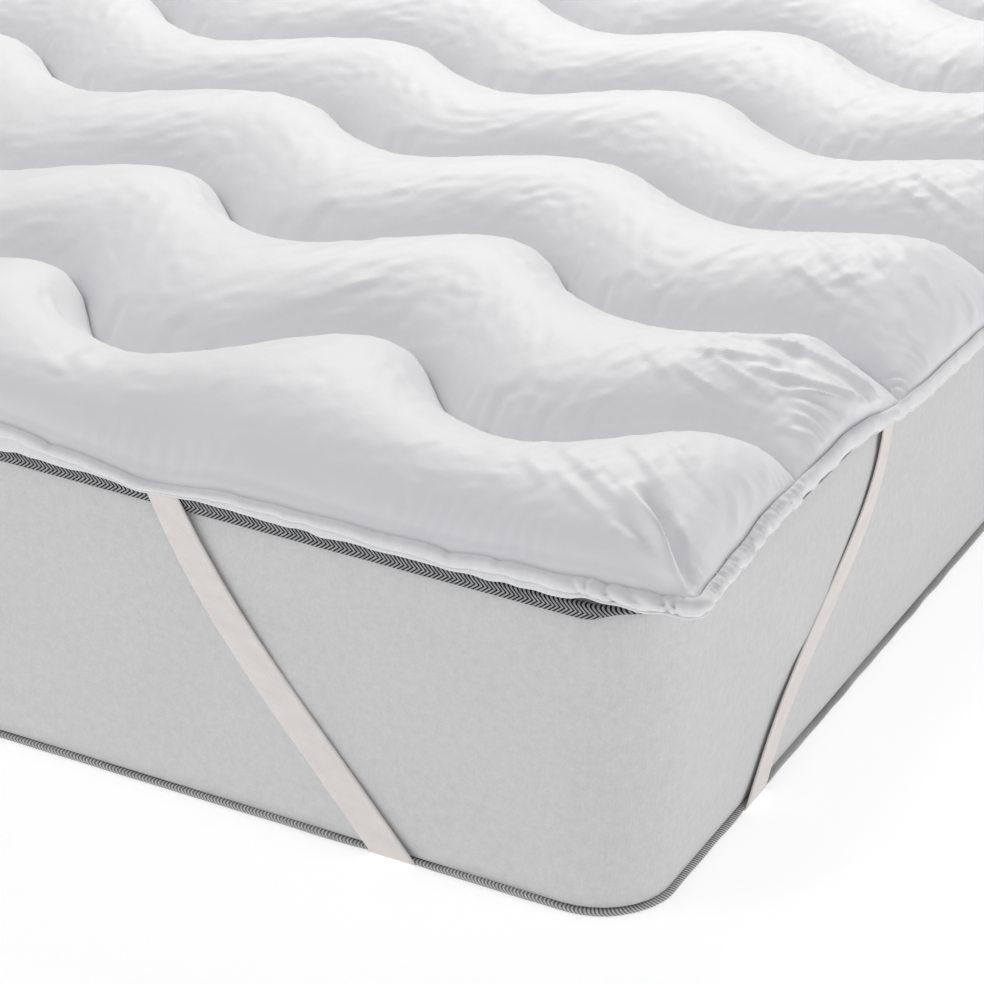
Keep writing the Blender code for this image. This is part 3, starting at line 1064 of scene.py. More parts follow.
@dataclass
class QuiltedPad:
    """The filled quilt: wavy channels that puff up between the sewing lines."""

    bed: Bed
    hang: EdgeHang
    lines: tuple[SewingLine, ...] = (
        SewingLine(-0.003, 0.047, 0.074, -0.024, 0.018, 0.318, 0.044, 0.07),
        SewingLine(0.020, 0.050, 0.056, -0.018, 0.011, 0.327, 0.045, 0.08, -0.058, 0.110),
        SewingLine(0.008, 0.032, 0.049, -0.003, 0.011, 0.332, 0.048),
        SewingLine(-0.015, 0.044, 0.048, -0.021, 0.023, 0.325, 0.054),
        SewingLine(-0.005, 0.051, 0.050, -0.035, 0.003, 0.334, 0.039),
        SewingLine(0.002, 0.051, 0.052, 0.000, 0.000, 0.331, 0.058, 0.0, -0.040),
        SewingLine(0.004, 0.046, 0.055, 0.000, 0.000, 0.331, 0.045),
    )
    line_pitch: float = 0.2455
    first_line: float = 0.2180
    drift_span: float = 0.800
    overhang_sides: float = 0.0060
    overhang_ends: float = 0.0030
    corner: float = 0.010
    # The flat facet under each falling stretch of a line, and the one beside a strap.
    facet_phase: float = 1.55
    facet_spread: float = 0.57
    facet_slope: float = 50.0
    strap_facet_reach: float = 0.160
    strap_facet_slope: float = 35.0
    crown: float = 0.050
    end_rise: float = 0.085
    sharp_angle: float = 70.0
    fill: float = 0.7
    columns: int = 180
    channel_rows: int = 27
    fineness: int = 3
    end_crowding: float = 0.45
    seam_crowding: float = 0.50
    # The cloth: how much longer it is cut than the space it is sewn into.
    slack_across: float = 0.03
    slack_along: float = 0.10
    end_slack: float = 0.020
    end_slack_reach: float = 0.090
    vertex_mass: float = 0.0005
    stiffness: float = 5.0
    shear_stiffness: float = 2.0
    bending: float = 0.01
    damping: float = 0.5
    pressure: float = 20.0
    frames: int = 20
    start_puff: float = 0.9
    start_unevenness: float = 0.0004
    start_spans: tuple[float, float] = (0.028, 0.016)
    start_waves: int = 24
    start_fade: float = 0.02
    wrinkle_span: float = 4.0
    swell_kept: float = 0.3
    wrinkle_cap: float = 0.009
    # The gathers, which the straps draw up more tightly beside them.
    seam_puckers: Puckers = Puckers(0.0006, 0.013, 0.008, 2.2)
    edge_puckers: Puckers = Puckers(0.0004, 0.0115, 0.006, 3.5)
    edge_fan: float = 20.0
    drawn_at: float = 0.425
    drawn_half: float = 0.070
    drawn_height: float = 0.0010
    drawn_reach: float = 0.004
    pucker_sway: Unevenness = Unevenness(1.0, 0.060, 3)
    seam_patches: Unevenness = Unevenness(0.7, 0.140, 4)
    edge_patches: Unevenness = Unevenness(0.6, 0.050, 8)
    seam_patched: float = 0.4
    edge_patched: float = 0.5
    # The folds, whose sizes and places vary as drawn.
    fold_seed: int = 29
    crest_sizes: tuple[float, float] = (-0.4, 0.6)
    crest_shift: float = 0.030
    crest_stretch: tuple[float, float] = (0.6, 1.2)
    least_size: float = 0.05
    foot_share: float = 0.5
    side_sizes: tuple[float, float] = (0.6, 1.1)
    side_shift: float = 0.003
    strap_size: float = 1.7
    edge_reach: float = 0.002
    seam_fade: float = 0.010
    edge_fade: float = 0.005
    corner_folds: tuple[CornerFold, ...] = (
        CornerFold(0.0, 0.110, 0.0180, 0.0065),
        CornerFold(17.0, 0.075, 0.0018, 0.0050),
        CornerFold(-20.0, 0.085, 0.0022, 0.0055),
        CornerFold(32.0, 0.055, 0.0012, 0.0045),
    )
    corner_aim: tuple[float, float] = (0.075, 0.098)
    corner_gap: float = 0.002
    corner_bow: float = 0.004
    corner_lean: float = 0.8

    @property
    def half_x(self) -> float:
        """Half the pad's width."""
        return self.bed.half_width + self.overhang_sides

    @property
    def half_y(self) -> float:
        """Half the pad's length."""
        return self.bed.half_length + self.overhang_ends

    def line_at(self, index: int, x: np.ndarray) -> np.ndarray:
        """Finds how far up the bed a sewing line lies.

        Args:
            index: The line's number, from the foot.
            x: The places across the bed.

        Returns:
            The line's y at each x.
        """
        line = self.lines[index]
        inwards = self.bed.half_width - x
        drift = np.clip(inwards / self.drift_span, 0.0, 1.0)
        swing = line.swing + drift * (line.far_swing - line.swing)
        turn = FULL_TURN * (inwards - line.crest) / line.wave
        wave = swing * (np.cos(turn) + line.peak * np.cos(2 * turn))
        from_end = (self.bed.half_width - np.abs(x)) / line.reach
        pull = line.pull * np.exp(-from_end * from_end)
        middle = self.first_line + index * self.line_pitch + line.stray + drift * line.lean
        middle = middle + line.bend * np.sin(math.pi * drift) ** 2
        return -self.bed.half_length + middle + wave + pull

    def border(self, index: int, x: np.ndarray) -> np.ndarray:
        """Finds the lower border of a channel: the foot, a sewing line or the head.

        Args:
            index: The channel's number, from the foot.
            x: The places across the bed.

        Returns:
            The border's y at each x.
        """
        if index == 0:
            return np.full_like(x, -self.half_y)
        if index > len(self.lines):
            return np.full_like(x, self.half_y)
        return self.line_at(index - 1, x)

    def plan(self, fineness: int) -> dict[str, np.ndarray]:
        """Lays the pad out flat, as rows along the channels and columns across the bed.

        Args:
            fineness: 1 for the simulated cloth, more for the finished quilt.

        Returns:
            Arrays by name, each with a row and a column for every point: x, y, share
            (of the channel's width), width and channel, below and above (its borders),
            slope (of the border above), from_seam and from_end.
        """
        steps = self.channel_rows * fineness
        across = np.linspace(-1, 1, self.columns * fineness + 1)
        across = across + self.end_crowding * np.sin(math.pi * across) / math.pi
        x = self.half_x * across
        channels = len(self.lines) + 1
        row = np.arange(channels * steps + 1)
        channel = np.minimum(row // steps, channels - 1)
        share = row / steps - channel
        share = share - self.seam_crowding * np.sin(FULL_TURN * share) / FULL_TURN
        borders = np.array([self.border(index, x) for index in range(channels + 1)])
        below, above = borders[channel], borders[channel + 1]
        share = share[:, None] + 0 * x[None, :]
        width = above - below
        plan = {
            "x": x[None, :] + 0 * share,
            "y": below + share * width,
            "share": share,
            "width": width,
            "channel": channel[:, None] + 0 * share,
            "below": below,
            "above": above,
            "slope": np.gradient(above, x, axis=1),
            "from_seam": np.minimum(share, 1 - share) * width,
        }
        plan["from_end"] = self.half_x - np.abs(plan["x"])
        return plan

    def crowned(self, plan: dict[str, np.ndarray], puff: float) -> np.ndarray:
        """The puffed surface of the CAD pad.

        Args:
            plan: The flat layout.
            puff: The share of the full crown.

        Returns:
            Positions, with a row and a column for every point.
        """
        swell = np.sqrt(np.maximum(0.0, 1 - (2 * plan["share"] - 1) ** 2))
        rise = np.minimum(plan["from_end"] / self.end_rise, 1.0)
        end_swell = np.sqrt(np.maximum(0.0, 1 - (1 - rise) ** 2))
        plumpness = np.sqrt(plan["width"] / self.line_pitch)
        height = puff * self.crown * plumpness * swell * end_swell
        height = self.faceted(plan, height)
        level = self.bed.height + self.hang.seam_height + height
        return np.stack((plan["x"], plan["y"], level), axis=-1)

    def faceted(self, plan: dict[str, np.ndarray], height: np.ndarray) -> np.ndarray:
        """Flattens the crown below each falling stretch of a line, down from a crisp ridge.

        Args:
            plan: The flat layout.
            height: The plain crown's height.

        Returns:
            The crown's height with its facets.
        """
        down = (plan["above"] - plan["y"]) / np.hypot(1.0, plan["slope"])
        inwards = self.bed.half_width - plan["x"]
        for index, line in enumerate(self.lines):
            turn = -FULL_TURN * (inwards - line.crest) / line.wave - self.facet_phase
            turn = np.mod(turn + math.pi, FULL_TURN) - math.pi
            weight = np.exp(-((turn / self.facet_spread) ** 2)) * (plan["channel"] == index)
            flat = np.minimum(height, down * math.tan(math.radians(self.facet_slope)))
            height = height + weight * (flat - height)
            if line.pull:
                near = plan["from_end"] / self.strap_facet_reach
                weight = np.exp(-near * near) * (plan["channel"] == index)
                flat = np.minimum(height, down * math.tan(math.radians(self.strap_facet_slope)))
                height = height + weight * (flat - height)
        return height

    def cut_cloth(self, plan: dict[str, np.ndarray]) -> np.ndarray:
        """Lays the cover out as it was cut, flat, and longer than its seams both ways.

        Args:
            plan: The flat layout.

        Returns:
            Positions, with a row and a column for every point.
        """
        shares = np.linspace(0, 1, 400)
        height = self.crown / self.line_pitch * np.sqrt(1 - (2 * shares - 1) ** 2)
        steps = np.hypot(np.diff(shares), np.diff(height))
        arc = np.concatenate(([0.0], np.cumsum(steps))) / steps.sum()
        cut_share = np.interp(plan["share"], shares, arc)
        near_end = np.clip(1 - plan["from_end"] / self.end_slack_reach, 0, 1)
        x = plan["x"] * (1 + self.slack_across)
        x = x + np.sign(plan["x"]) * self.end_slack * near_end
        y = (plan["below"] + cut_share * plan["width"]) * (1 + self.slack_along)
        return np.stack((x, y, np.full_like(x, self.bed.height)), axis=-1)

    def blown(self, start: np.ndarray, cut: np.ndarray) -> np.ndarray:
        """Blows the sewn cover up as cloth, with its seams and its edge held.

        Args:
            start: Where each point of the cover starts.
            cut: The flat cover that gives each thread its own length.

        Returns:
            Where each point comes to rest.
        """
        rows, columns = start.shape[0] - 1, start.shape[1] - 1
        numbers = {}

        def place(column: np.ndarray, row: np.ndarray) -> np.ndarray:
            """Puts each point at its start, and keeps its numbers."""
            numbers["column"], numbers["row"] = column, row
            return start[row, column]

        mesh = cloth_grid("cover_in_work", columns, rows, place)
        cover = new_object("cover_in_work", mesh)
        column, row = numbers["column"], numbers["row"]
        cover.shape_key_add(name="sewn")
        pattern = cover.shape_key_add(name="cut")
        pattern.data.foreach_set("co", cut[row, column].ravel())
        held = (row % self.channel_rows == 0) | (column == 0) | (column == columns)
        group = cover.vertex_groups.new(name="held")
        group.add(np.flatnonzero(held).tolist(), 1.0, "REPLACE")
        cloth = cover.modifiers.new("cloth", "CLOTH")
        settings = cloth.settings
        settings.vertex_group_mass = group.name
        settings.rest_shape_key = pattern
        settings.mass = self.vertex_mass
        settings.tension_stiffness = self.stiffness
        settings.compression_stiffness = self.stiffness
        settings.shear_stiffness = self.shear_stiffness
        settings.bending_stiffness = self.bending
        settings.tension_damping = self.damping
        settings.compression_damping = self.damping
        settings.shear_damping = self.damping
        settings.bending_damping = self.damping / 10
        settings.use_pressure = True
        settings.uniform_pressure_force = self.pressure
        settings.effector_weights.gravity = 0.0
        cloth.collision_settings.use_collision = False
        cloth.point_cache.frame_start = 1
        cloth.point_cache.frame_end = self.frames + 1
        scene = bpy.context.scene
        for frame_number in range(1, self.frames + 1):
            scene.frame_set(frame_number)
        blown = cover.evaluated_get(bpy.context.evaluated_depsgraph_get())
        result = np.empty_like(start)
        result[row, column] = points_of(blown.data)
        bpy.data.objects.remove(cover)
        bpy.data.meshes.remove(mesh)
        scene.frame_set(1)
        return result

    def softened(self, moves: np.ndarray) -> np.ndarray:
        """Evens moves out within each channel, so that the seams keep their place.

        Args:
            moves: Moves that are 0 at every seam and edge.

        Returns:
            The evened moves.
        """
        reach = math.ceil(3 * self.wrinkle_span)
        offsets = np.arange(-reach, reach + 1)
        weights = np.exp(-(offsets**2) / (2 * self.wrinkle_span * self.wrinkle_span))
        weights /= weights.sum()

        def even_out(values: np.ndarray) -> np.ndarray:
            """Evens out down the rows, and mirrors the values at both ends."""
            padded = np.pad(
                values,
                [(reach, reach)] + [(0, 0)] * (values.ndim - 1),
                mode="reflect",
                reflect_type="odd",
            )
            count = len(values)
            return sum(weight * padded[start : start + count] for start, weight in enumerate(weights))

        evened = np.empty_like(moves)
        for channel in range(len(self.lines) + 1):
            first = channel * self.channel_rows
            rows = slice(first, first + self.channel_rows + 1)
            evened[rows] = even_out(moves[rows])
        return even_out(evened.swapaxes(0, 1)).swapaxes(0, 1)

    def wrinkles(self) -> np.ndarray:
        """Finds the creases that the blown cover adds to the plain crown.

        Returns:
            Moves, with a row and a column for every point of the coarse plan.
        """
        plan = self.plan(1)
        start = self.crowned(plan, self.start_puff)
        flat = start[..., :2]
        large, small = self.start_spans
        rough = wander(flat, large, seed=6, waves=self.start_waves)
        rough = rough + wander(flat, small, seed=7, waves=self.start_waves)
        in_from_seam = smooth_step(plan["from_seam"] / self.start_fade)
        rough *= in_from_seam * smooth_step(plan["from_end"] / self.start_fade)
        start[..., 2] += self.start_unevenness * rough
        blown = self.blown(start, self.cut_cloth(plan))
        change = blown - start
        swell = self.softened(change)
        kept = self.swell_kept * swell + (change - swell)
        size = np.linalg.norm(kept, axis=-1, keepdims=True)
        cap = self.wrinkle_cap
        return kept * (cap * np.tanh(size / cap) / np.maximum(size, MERGE_DISTANCE))

    def finer(self, values: np.ndarray) -> np.ndarray:
        """Spreads moves from the coarse plan over the finished one, on smooth curves.

        Args:
            values: Moves for the coarse plan's points.

        Returns:
            Moves for the finished plan's points.
        """
        for _ in range(2):
            first, last = 2 * values[:1] - values[1:2], 2 * values[-1:] - values[-2:-1]
            padded = np.concatenate((first, values, last))
            before, start, end, after = padded[:-3], padded[1:-2], padded[2:-1], padded[3:]
            fine = np.empty(((len(values) - 1) * self.fineness + 1, *values.shape[1:]))
            for step in range(self.fineness):
                share = step / self.fineness
                bend = 2 * before - 5 * start + 4 * end - after
                twist = 3 * (start - end) + after - before
                curve = bend * share**2 + twist * share**3
                fine[step:-1:self.fineness] = start + ((end - before) * share + curve) / 2
            fine[-1] = values[-1]
            values = fine.swapaxes(0, 1)
        return values

    def gathers(self, plan: dict[str, np.ndarray]) -> np.ndarray:
        """Finds how far the small gathers along the seams and the edge stand out.

        Args:
            plan: The flat layout.

        Returns:
            The move outwards at every point.
        """
        flat = np.stack((plan["x"], plan["y"]), axis=-1)
        uneven = self.pucker_sway.at(flat)
        seam, edge = self.seam_puckers, self.edge_puckers
        near = plan["from_seam"] / seam.reach
        along = FULL_TURN * plan["x"] / seam.pitch + seam.sway * uneven
        patches = smooth_step(self.seam_patched + self.seam_patches.at(flat))
        total = seam.height * np.sin(along) * near * np.exp(1 - near) * patches
        from_drawn = self.bed.half_length - np.abs(plan["y"]) - self.drawn_at
        drawn = np.exp(-((from_drawn / self.drawn_half) ** 2))
        near = plan["from_end"] / (edge.reach + self.drawn_reach * drawn)
        along = FULL_TURN * plan["y"] / edge.pitch + edge.sway * uneven
        along = along + self.edge_fan * plan["from_end"]
        patches = smooth_step(self.edge_patched + self.edge_patches.at(flat))
        height = edge.height + self.drawn_height * drawn
        return total + height * np.sin(along) * near * np.exp(1 - near) * patches

    def line_crests(self, index: int) -> list[float]:
        """Finds where the crests of a sewing line lie across the bed.

        Args:
            index: The line's number, from the foot.

        Returns:
            The x of each crest.
        """
        line = self.lines[index]
        first = self.bed.half_width - line.crest
        count = math.ceil(2 * self.bed.half_width / line.wave)
        return [first - wave * line.wave for wave in range(count)]

    def placed_folds(self) -> list[tuple[np.ndarray, Fold]]:
        """Places every fold over the quilt, with its size and place drawn.

        Returns:
            Each fold's path in plan, as rows of x and y, with the fold.
        """
        draw = np.random.default_rng(self.fold_seed)
        channels = len(self.lines) + 1
        placed = []

        def lay(fold: Fold, channel: int, mark: float, reach: float, size: float, flip: bool) -> None:
            """Lays one fold down from its mark, upside down if it is flipped."""
            path = fold.path()
            shares = 1 - path[:, 1] if flip else path[:, 1]
            x = np.clip(mark + reach * path[:, 0], -self.half_x, self.half_x)
            below, above = self.border(channel, x), self.border(channel + 1, x)
            place = np.column_stack((x, below + shares * (above - below)))
            placed.append((place, Fold(fold.points, fold.width, fold.height * size)))

        for channel in range(channels):
            for crest in self.line_crests(max(channel - 1, 0)):
                for fold in CREST_FOLDS:
                    size = draw.uniform(*self.crest_sizes)
                    shift = draw.uniform(-self.crest_shift, self.crest_shift)
                    stretch = draw.uniform(*self.crest_stretch)
                    size = size * (self.foot_share if channel == 0 else 1.0)
                    if size > self.least_size:
                        lay(fold, channel, crest + shift, stretch, size, False)
            for side in (1, -1):
                for fold in SIDE_FOLDS:
                    size = draw.uniform(*self.side_sizes)
                    shift = draw.uniform(-self.side_shift, self.side_shift)
                    lay(fold, channel, side * (self.half_x + shift), -side, size, False)
        for index, line in enumerate(self.lines):
            if not line.pull:
                continue
            at_head = index > len(self.lines) / 2
            for side in (1, -1):
                for fold in STRAP_FOLDS:
                    mark = side * self.half_x
                    lay(fold, index + at_head, mark, -side, self.strap_size, at_head)
        return placed

    def ridge(self, place: np.ndarray, fold: Fold, x: np.ndarray, y: np.ndarray) -> np.ndarray:
        """How far one fold moves the cover outwards.

        Args:
            place: The fold's path in plan.
            fold: Its width and height.
            x: The places across the bed.
            y: The places along it.

        Returns:
            The move at each place.
        """
        apart_x = x[..., None] - place[:, 0]
        apart_y = y[..., None] - place[:, 1]
        nearest = (apart_x**2 + apart_y**2).argmin(axis=-1)
        heading = np.gradient(place, axis=0)
        heading /= np.maximum(np.linalg.norm(heading, axis=1, keepdims=True), MERGE_DISTANCE)
        pick = nearest[..., None]
        off_x = np.take_along_axis(apart_x, pick, axis=-1)[..., 0]
        off_y = np.take_along_axis(apart_y, pick, axis=-1)[..., 0]
        head_x, head_y = heading[nearest, 0], heading[nearest, 1]
        aside = (off_y * head_x - off_x * head_y) / fold.width
        beyond = (off_x * head_x + off_y * head_y) / fold.width
        share = (nearest + 0.5) / len(place)
        if fold.points[-1][0] <= self.edge_reach:
            share = np.minimum(share, 0.5)
        fade = np.sin(math.pi * share) ** fold.fade_power
        return fold.height * fade * fold.section(aside, beyond)

    def corner_creases(self) -> list[Crease]:
        """Places the folds that run in from each corner, the middle one deep.

        Returns:
            The folds.
        """
        creases = []
        aim_x, aim_y = self.corner_aim
        for corner in CORNERS:
            mirror = corner.side_x * corner.side_y
            base = math.degrees(math.atan2(-corner.side_y * aim_y, -corner.side_x * aim_x))
            for fold in self.corner_folds:
                heading = base + fold.turned * mirror
                turn = math.radians(heading)
                away = self.corner_gap + fold.length / 2
                creases.append(
                    Crease(
                        corner.side_x * self.half_x + away * math.cos(turn),
                        corner.side_y * self.half_y + away * math.sin(turn),
                        heading,
                        fold.length,
                        fold.width,
                        fold.depth,
                        self.corner_bow * mirror,
                        -self.corner_lean * mirror,
                    )
                )
        return creases

    def folds(self, plan: dict[str, np.ndarray]) -> np.ndarray:
        """Finds how far all the folds move the cover outwards, 0 at the seams and edges.

        Args:
            plan: The flat layout.

        Returns:
            The move outwards at every point.
        """
        total = np.zeros_like(plan["x"])
        across = plan["x"][0]

        def block_round(low: np.ndarray, high: np.ndarray) -> tuple[slice, slice] | None:
            """The rows and columns of the plan that hold a box, or nothing."""
            first, last = np.searchsorted(across, (low[0], high[0]))
            if last - first < 2:
                return None
            y = plan["y"][:, first:last]
            rows = np.flatnonzero(((y > low[1]) & (y < high[1])).any(axis=1))
            if not len(rows):
                return None
            return slice(rows[0], rows[-1] + 1), slice(first, last)

        for crease in self.corner_creases():
            middle = np.array((crease.x, crease.y))
            reach = crease.length / 2 + 4 * crease.width + abs(crease.bow)
            block = block_round(middle - reach, middle + reach)
            if block:
                total[block] += crease.depth_at(plan["x"][block], plan["y"][block])
        for place, fold in self.placed_folds():
            reach = 5 * fold.width
            block = block_round(place.min(axis=0) - reach, place.max(axis=0) + reach)
            if block:
                total[block] += self.ridge(place, fold, plan["x"][block], plan["y"][block])
        seam = smooth_step(plan["from_seam"] / self.seam_fade)
        return total * seam * smooth_step(plan["from_end"] / self.edge_fade)

    def normals(self, places: np.ndarray) -> np.ndarray:
        """Finds the surface's outward directions.

        Args:
            places: Positions, with a row and a column for every point.

        Returns:
            The direction at every point.
        """
        along = np.gradient(places, axis=1)
        up = np.gradient(places, axis=0)
        normal = np.cross(along, up)
        return normal / np.maximum(np.linalg.norm(normal, axis=-1, keepdims=True), TINY)

    def surface(self) -> np.ndarray:
        """Shapes the finished quilted top.

        Returns:
            Positions, with a row and a column for every point.
        """
        plan = self.plan(self.fineness)
        places = self.round_corners(self.crowned(plan, 1.0))
        relief = self.gathers(plan) + self.folds(plan)
        places += self.normals(places) * relief[..., None]
        places += self.finer(self.wrinkles())
        places[..., 2] += self.hang.lift(plan["x"], plan["y"])
        move_x, move_y = self.hang.outwards(plan["x"], plan["y"])
        places[..., 0] += move_x
        places[..., 1] += move_y
        return places

    def round_corners(self, places: np.ndarray) -> np.ndarray:
        """Draws the pad's four corners in to a round.

        Args:
            places: Positions, which are moved.

        Returns:
            The same positions.
        """
        centre = np.array((self.half_x - self.corner, self.half_y - self.corner))
        past = np.abs(places[..., :2]) - centre
        in_corner = (past > 0).all(axis=-1)
        reach = np.hypot(past[..., 0], past[..., 1])
        pull = np.where(in_corner, past.max(axis=-1) / np.maximum(reach, TINY), 1.0)
        moved = np.sign(places[..., :2]) * (centre + past * pull[..., None])
        places[..., :2] = np.where(in_corner[..., None], moved, places[..., :2])
        return places

    def build(self, material: bpy.types.Material) -> bpy.types.Object:
        """Makes the closed pad: the quilted top, a low rim and a flat underside.

        Args:
            material: The cover's material.

        Returns:
            The pad's object.
        """
        places = self.surface()
        rows, columns = places.shape[0] - 1, places.shape[1] - 1
        mesh = cloth_grid(
            "topper_quilt",
            columns,
            rows,
            lambda column, row: places[row, column],
            (2 * self.half_x, 2 * self.half_y),
        )
        build = bmesh.new()
        build.from_mesh(mesh)
        rim = [edge for edge in build.edges if edge.is_boundary]
        lowered = bmesh.ops.extrude_edge_only(build, edges=rim)["geom"]
        lowest = self.bed.height + FIT_GAP
        for item in lowered:
            if isinstance(item, bmesh.types.BMVert):
                item.co.z = max(item.co.z - self.hang.seam_height + FIT_GAP, lowest)
        hem = [edge for edge in build.edges if edge.is_boundary]
        bmesh.ops.contextual_create(build, geom=hem)
        bmesh.ops.recalc_face_normals(build, faces=build.faces)
        build.to_mesh(mesh)
        build.free()
        mesh.shade_smooth()
        mesh.set_sharp_from_angle(angle=math.radians(self.sharp_angle))
        pad = new_object("topper_quilt", mesh)
        dress(pad, material, "topper_pad")
        return pad


# --- Binding, tapes, straps and mattress ---


# The strip's section, round from the back of its top: shares of its thickness outwards,
# and of the roll's height up from the roll's foot, or of the fold's height down from it.
ROLL_SECTION = (
    (0.00, 0.84),
    (0.04, 0.95),
    (0.14, 1.00),
    (0.32, 1.00),
    (0.54, 0.97),
    (0.73, 0.90),
    (0.88, 0.78),
    (0.97, 0.62),
    (1.00, 0.45),
    (0.97, 0.28),
    (0.89, 0.14),
    (0.76, 0.04),
    (0.58, 0.00),
)
FOLD_SECTION = (
    (0.50, 0.05),
    (0.60, 0.16),
    (0.66, 0.40),
    (0.66, 0.72),
    (0.60, 0.94),
    (0.44, 1.00),
    (0.18, 1.00),
    (0.00, 0.92),
    (0.00, 0.30),
)


@dataclass
class EdgeBinding:
    """The soft strip sewn round the pad's edge: a round roll over a flat fold."""

    bed: Bed
    pad: QuiltedPad
    hang: EdgeHang
    girth: float = 0.043
    thickness: float = 0.0070
    step: float = 0.0021
    # Pleats where the strip is gathered round the corner, slanting over the roll.
    pleat: float = 0.0105
    pleat_slant: float = 0.55
    pleat_depth: float = 0.0036
    pleat_sharpness: float = 1.3
    pleat_least: float = 0.75
    pleat_drop: float = 0.6
    pleated_swell: float = 0.45
    pleated_side: float = 0.262
    pleated_end: float = 0.110
    pleated_side_fade: float = 0.050
    pleated_end_fade: float = 0.060
    pleated_end_share: float = 0.35
    # Past the straps it lies flat and thin.
    flat_from: float = 0.432
    flat_fade: float = 0.008
    flat_share: float = 0.42
    # How uneven it is along its length. Heights are in metres, the others shares.
    top_swells: Unevenness = Unevenness(0.0005, 0.060, 14)
    roll_swells: Unevenness = Unevenness(0.06, 0.030, 13)
    fold_swells: Unevenness = Unevenness(0.10, 0.045, 16)
    thickness_swells: Unevenness = Unevenness(0.10, 0.035, 11)
    pleat_sway: Unevenness = Unevenness(1.3, 0.045, 12)
    pleat_depths: Unevenness = Unevenness(0.35, 0.022, 15)
    kinks: tuple[float, ...] = (0.190, 0.531, 0.571, 0.653, 0.684, -0.140, -0.420, -0.610)
    kink_half: float = 0.0045
    kink_depth: float = 0.0017

    @property
    def profile_steps(self) -> int:
        """How many faces go round the strip's section."""
        return len(ROLL_SECTION) + len(FOLD_SECTION)

    def outline(self) -> Outline:
        """The line of the strip's back."""
        outwards = 2 * FIT_GAP
        return Outline(
            self.pad.half_x + outwards, self.pad.half_y + outwards, self.pad.corner + outwards
        )

    def pleated(self, where: np.ndarray) -> np.ndarray:
        """Finds where the strip is gathered.

        Args:
            where: Places on the path.

        Returns:
            1 beside the corners and 0 elsewhere, for each place.
        """
        from_side, from_end = self.hang.from_edges(where[:, 0], where[:, 1])
        on_side = smooth_step((self.pleated_side - from_end) / self.pleated_side_fade)
        on_end = smooth_step((self.pleated_end - from_side) / self.pleated_end_fade)
        share = self.pleated_end_share
        return np.where(from_side < from_end, on_side, share * on_end + (1 - share) * on_end**3)

    def flat(self, where: np.ndarray) -> np.ndarray:
        """Finds where the strip lies flat.

        Args:
            where: Places on the path.

        Returns:
            1 on the sides past the straps and 0 elsewhere, for each place.
        """
        from_side, from_end = self.hang.from_edges(where[:, 0], where[:, 1])
        past = smooth_step((from_end - self.flat_from) / self.flat_fade)
        return np.where(from_side < from_end, past, 0.0)

    def shape(
        self, distance: np.ndarray, where: np.ndarray, turn: np.ndarray
    ) -> tuple[np.ndarray, np.ndarray]:
        """Gives the strip's section at each point, as band() asks.

        Args:
            distance: How far along the path.
            where: The place on the path.
            turn: The turn round the section.

        Returns:
            How far outwards each point lies, and how high.
        """
        row = np.rint(turn / FULL_TURN * self.profile_steps).astype(int) % self.profile_steps
        section = np.array(ROLL_SECTION + FOLD_SECTION)[row]
        on_roll = row < len(ROLL_SECTION)
        x, y = where[:, 0], where[:, 1]
        path = distance[:, None]
        top = self.hang.along_edge(x, y, "top") + self.top_swells.at(path)
        roll = self.hang.along_edge(x, y, "roll") * (1 + self.roll_swells.at(path))
        fold = self.hang.along_edge(x, y, "fold") * (1 + self.fold_swells.at(path))
        flat = self.flat(where)
        gathered = self.pleated(where)
        thickness = self.thickness * (1 - self.flat_share * flat + self.pleated_swell * gathered)
        out = thickness * section[:, 0] * (1 + self.thickness_swells.at(path))
        up = np.where(on_roll, top - roll * (1 - section[:, 1]), top - roll - fold * section[:, 1])
        # The pleats are round puffs with a narrow crease between them.
        slanted = distance + self.pleat_slant * (up - top)
        phase = math.pi * slanted / self.pleat + self.pleat_sway.at(path)
        crease = (1 - np.abs(np.sin(phase))) ** self.pleat_sharpness
        crease = crease * smooth_step(section[:, 0] / 0.2) * on_roll
        depth = self.pleat_depth * gathered * (self.pleat_least + self.pleat_depths.at(path))
        out = out - crease * depth
        up = up - self.pleat_drop * crease * depth * (section[:, 1] > 0.5)
        upper = smooth_step((section[:, 1] - 0.3) / 0.6) * on_roll
        for kink in self.kinks:
            near = np.exp(-(((x - kink) / self.kink_half) ** 2)) * (y < 0)
            up = up - self.kink_depth * near * upper * (np.abs(y) > self.bed.half_length)
        return out, up + self.bed.height

    def build(self, material: bpy.types.Material) -> bpy.types.Object:
        """Makes the strip, and hangs it out with the quilt's edge.

        Args:
            material: The strip's material.

        Returns:
            The strip's object.
        """
        mesh = band(
            "topper_edge_binding", self.outline(), self.step, self.profile_steps, self.shape, self.girth
        )
        places = points_of(mesh)
        move_x, move_y = self.hang.outwards(places[:, 0], places[:, 1])
        places[:, 0] += move_x
        places[:, 1] += move_y
        mesh.vertices.foreach_set("co", places.ravel())
        mesh.update()
        strip = new_object("topper_edge_binding", mesh)
        dress(strip, material, "topper_binding")
        return strip


@dataclass(frozen=True)
class StrapSlant:
    """The slanting stretch of a strap on one side of the mattress, as in the CAD.

    top and bottom are how far its ends lie from the corner. half_width is half of what it
    covers at the bottom. stand_off is how far its top stands off, bow and sway how far it
    curves once and twice, and top_rise how far its end is drawn up.
    """

    top: float
    bottom: float
    half_width: float
    stand_off: float
    bow: float
    sway: float
    top_rise: float


END_SLANT = StrapSlant(0.412, 0.204, 0.0196, 0.001, 0.0095, 0.002, 0.0085)
SIDE_SLANT = StrapSlant(0.462, 0.2265, 0.0205, 0.0006, 0.0238, 0.024, 0.0060)


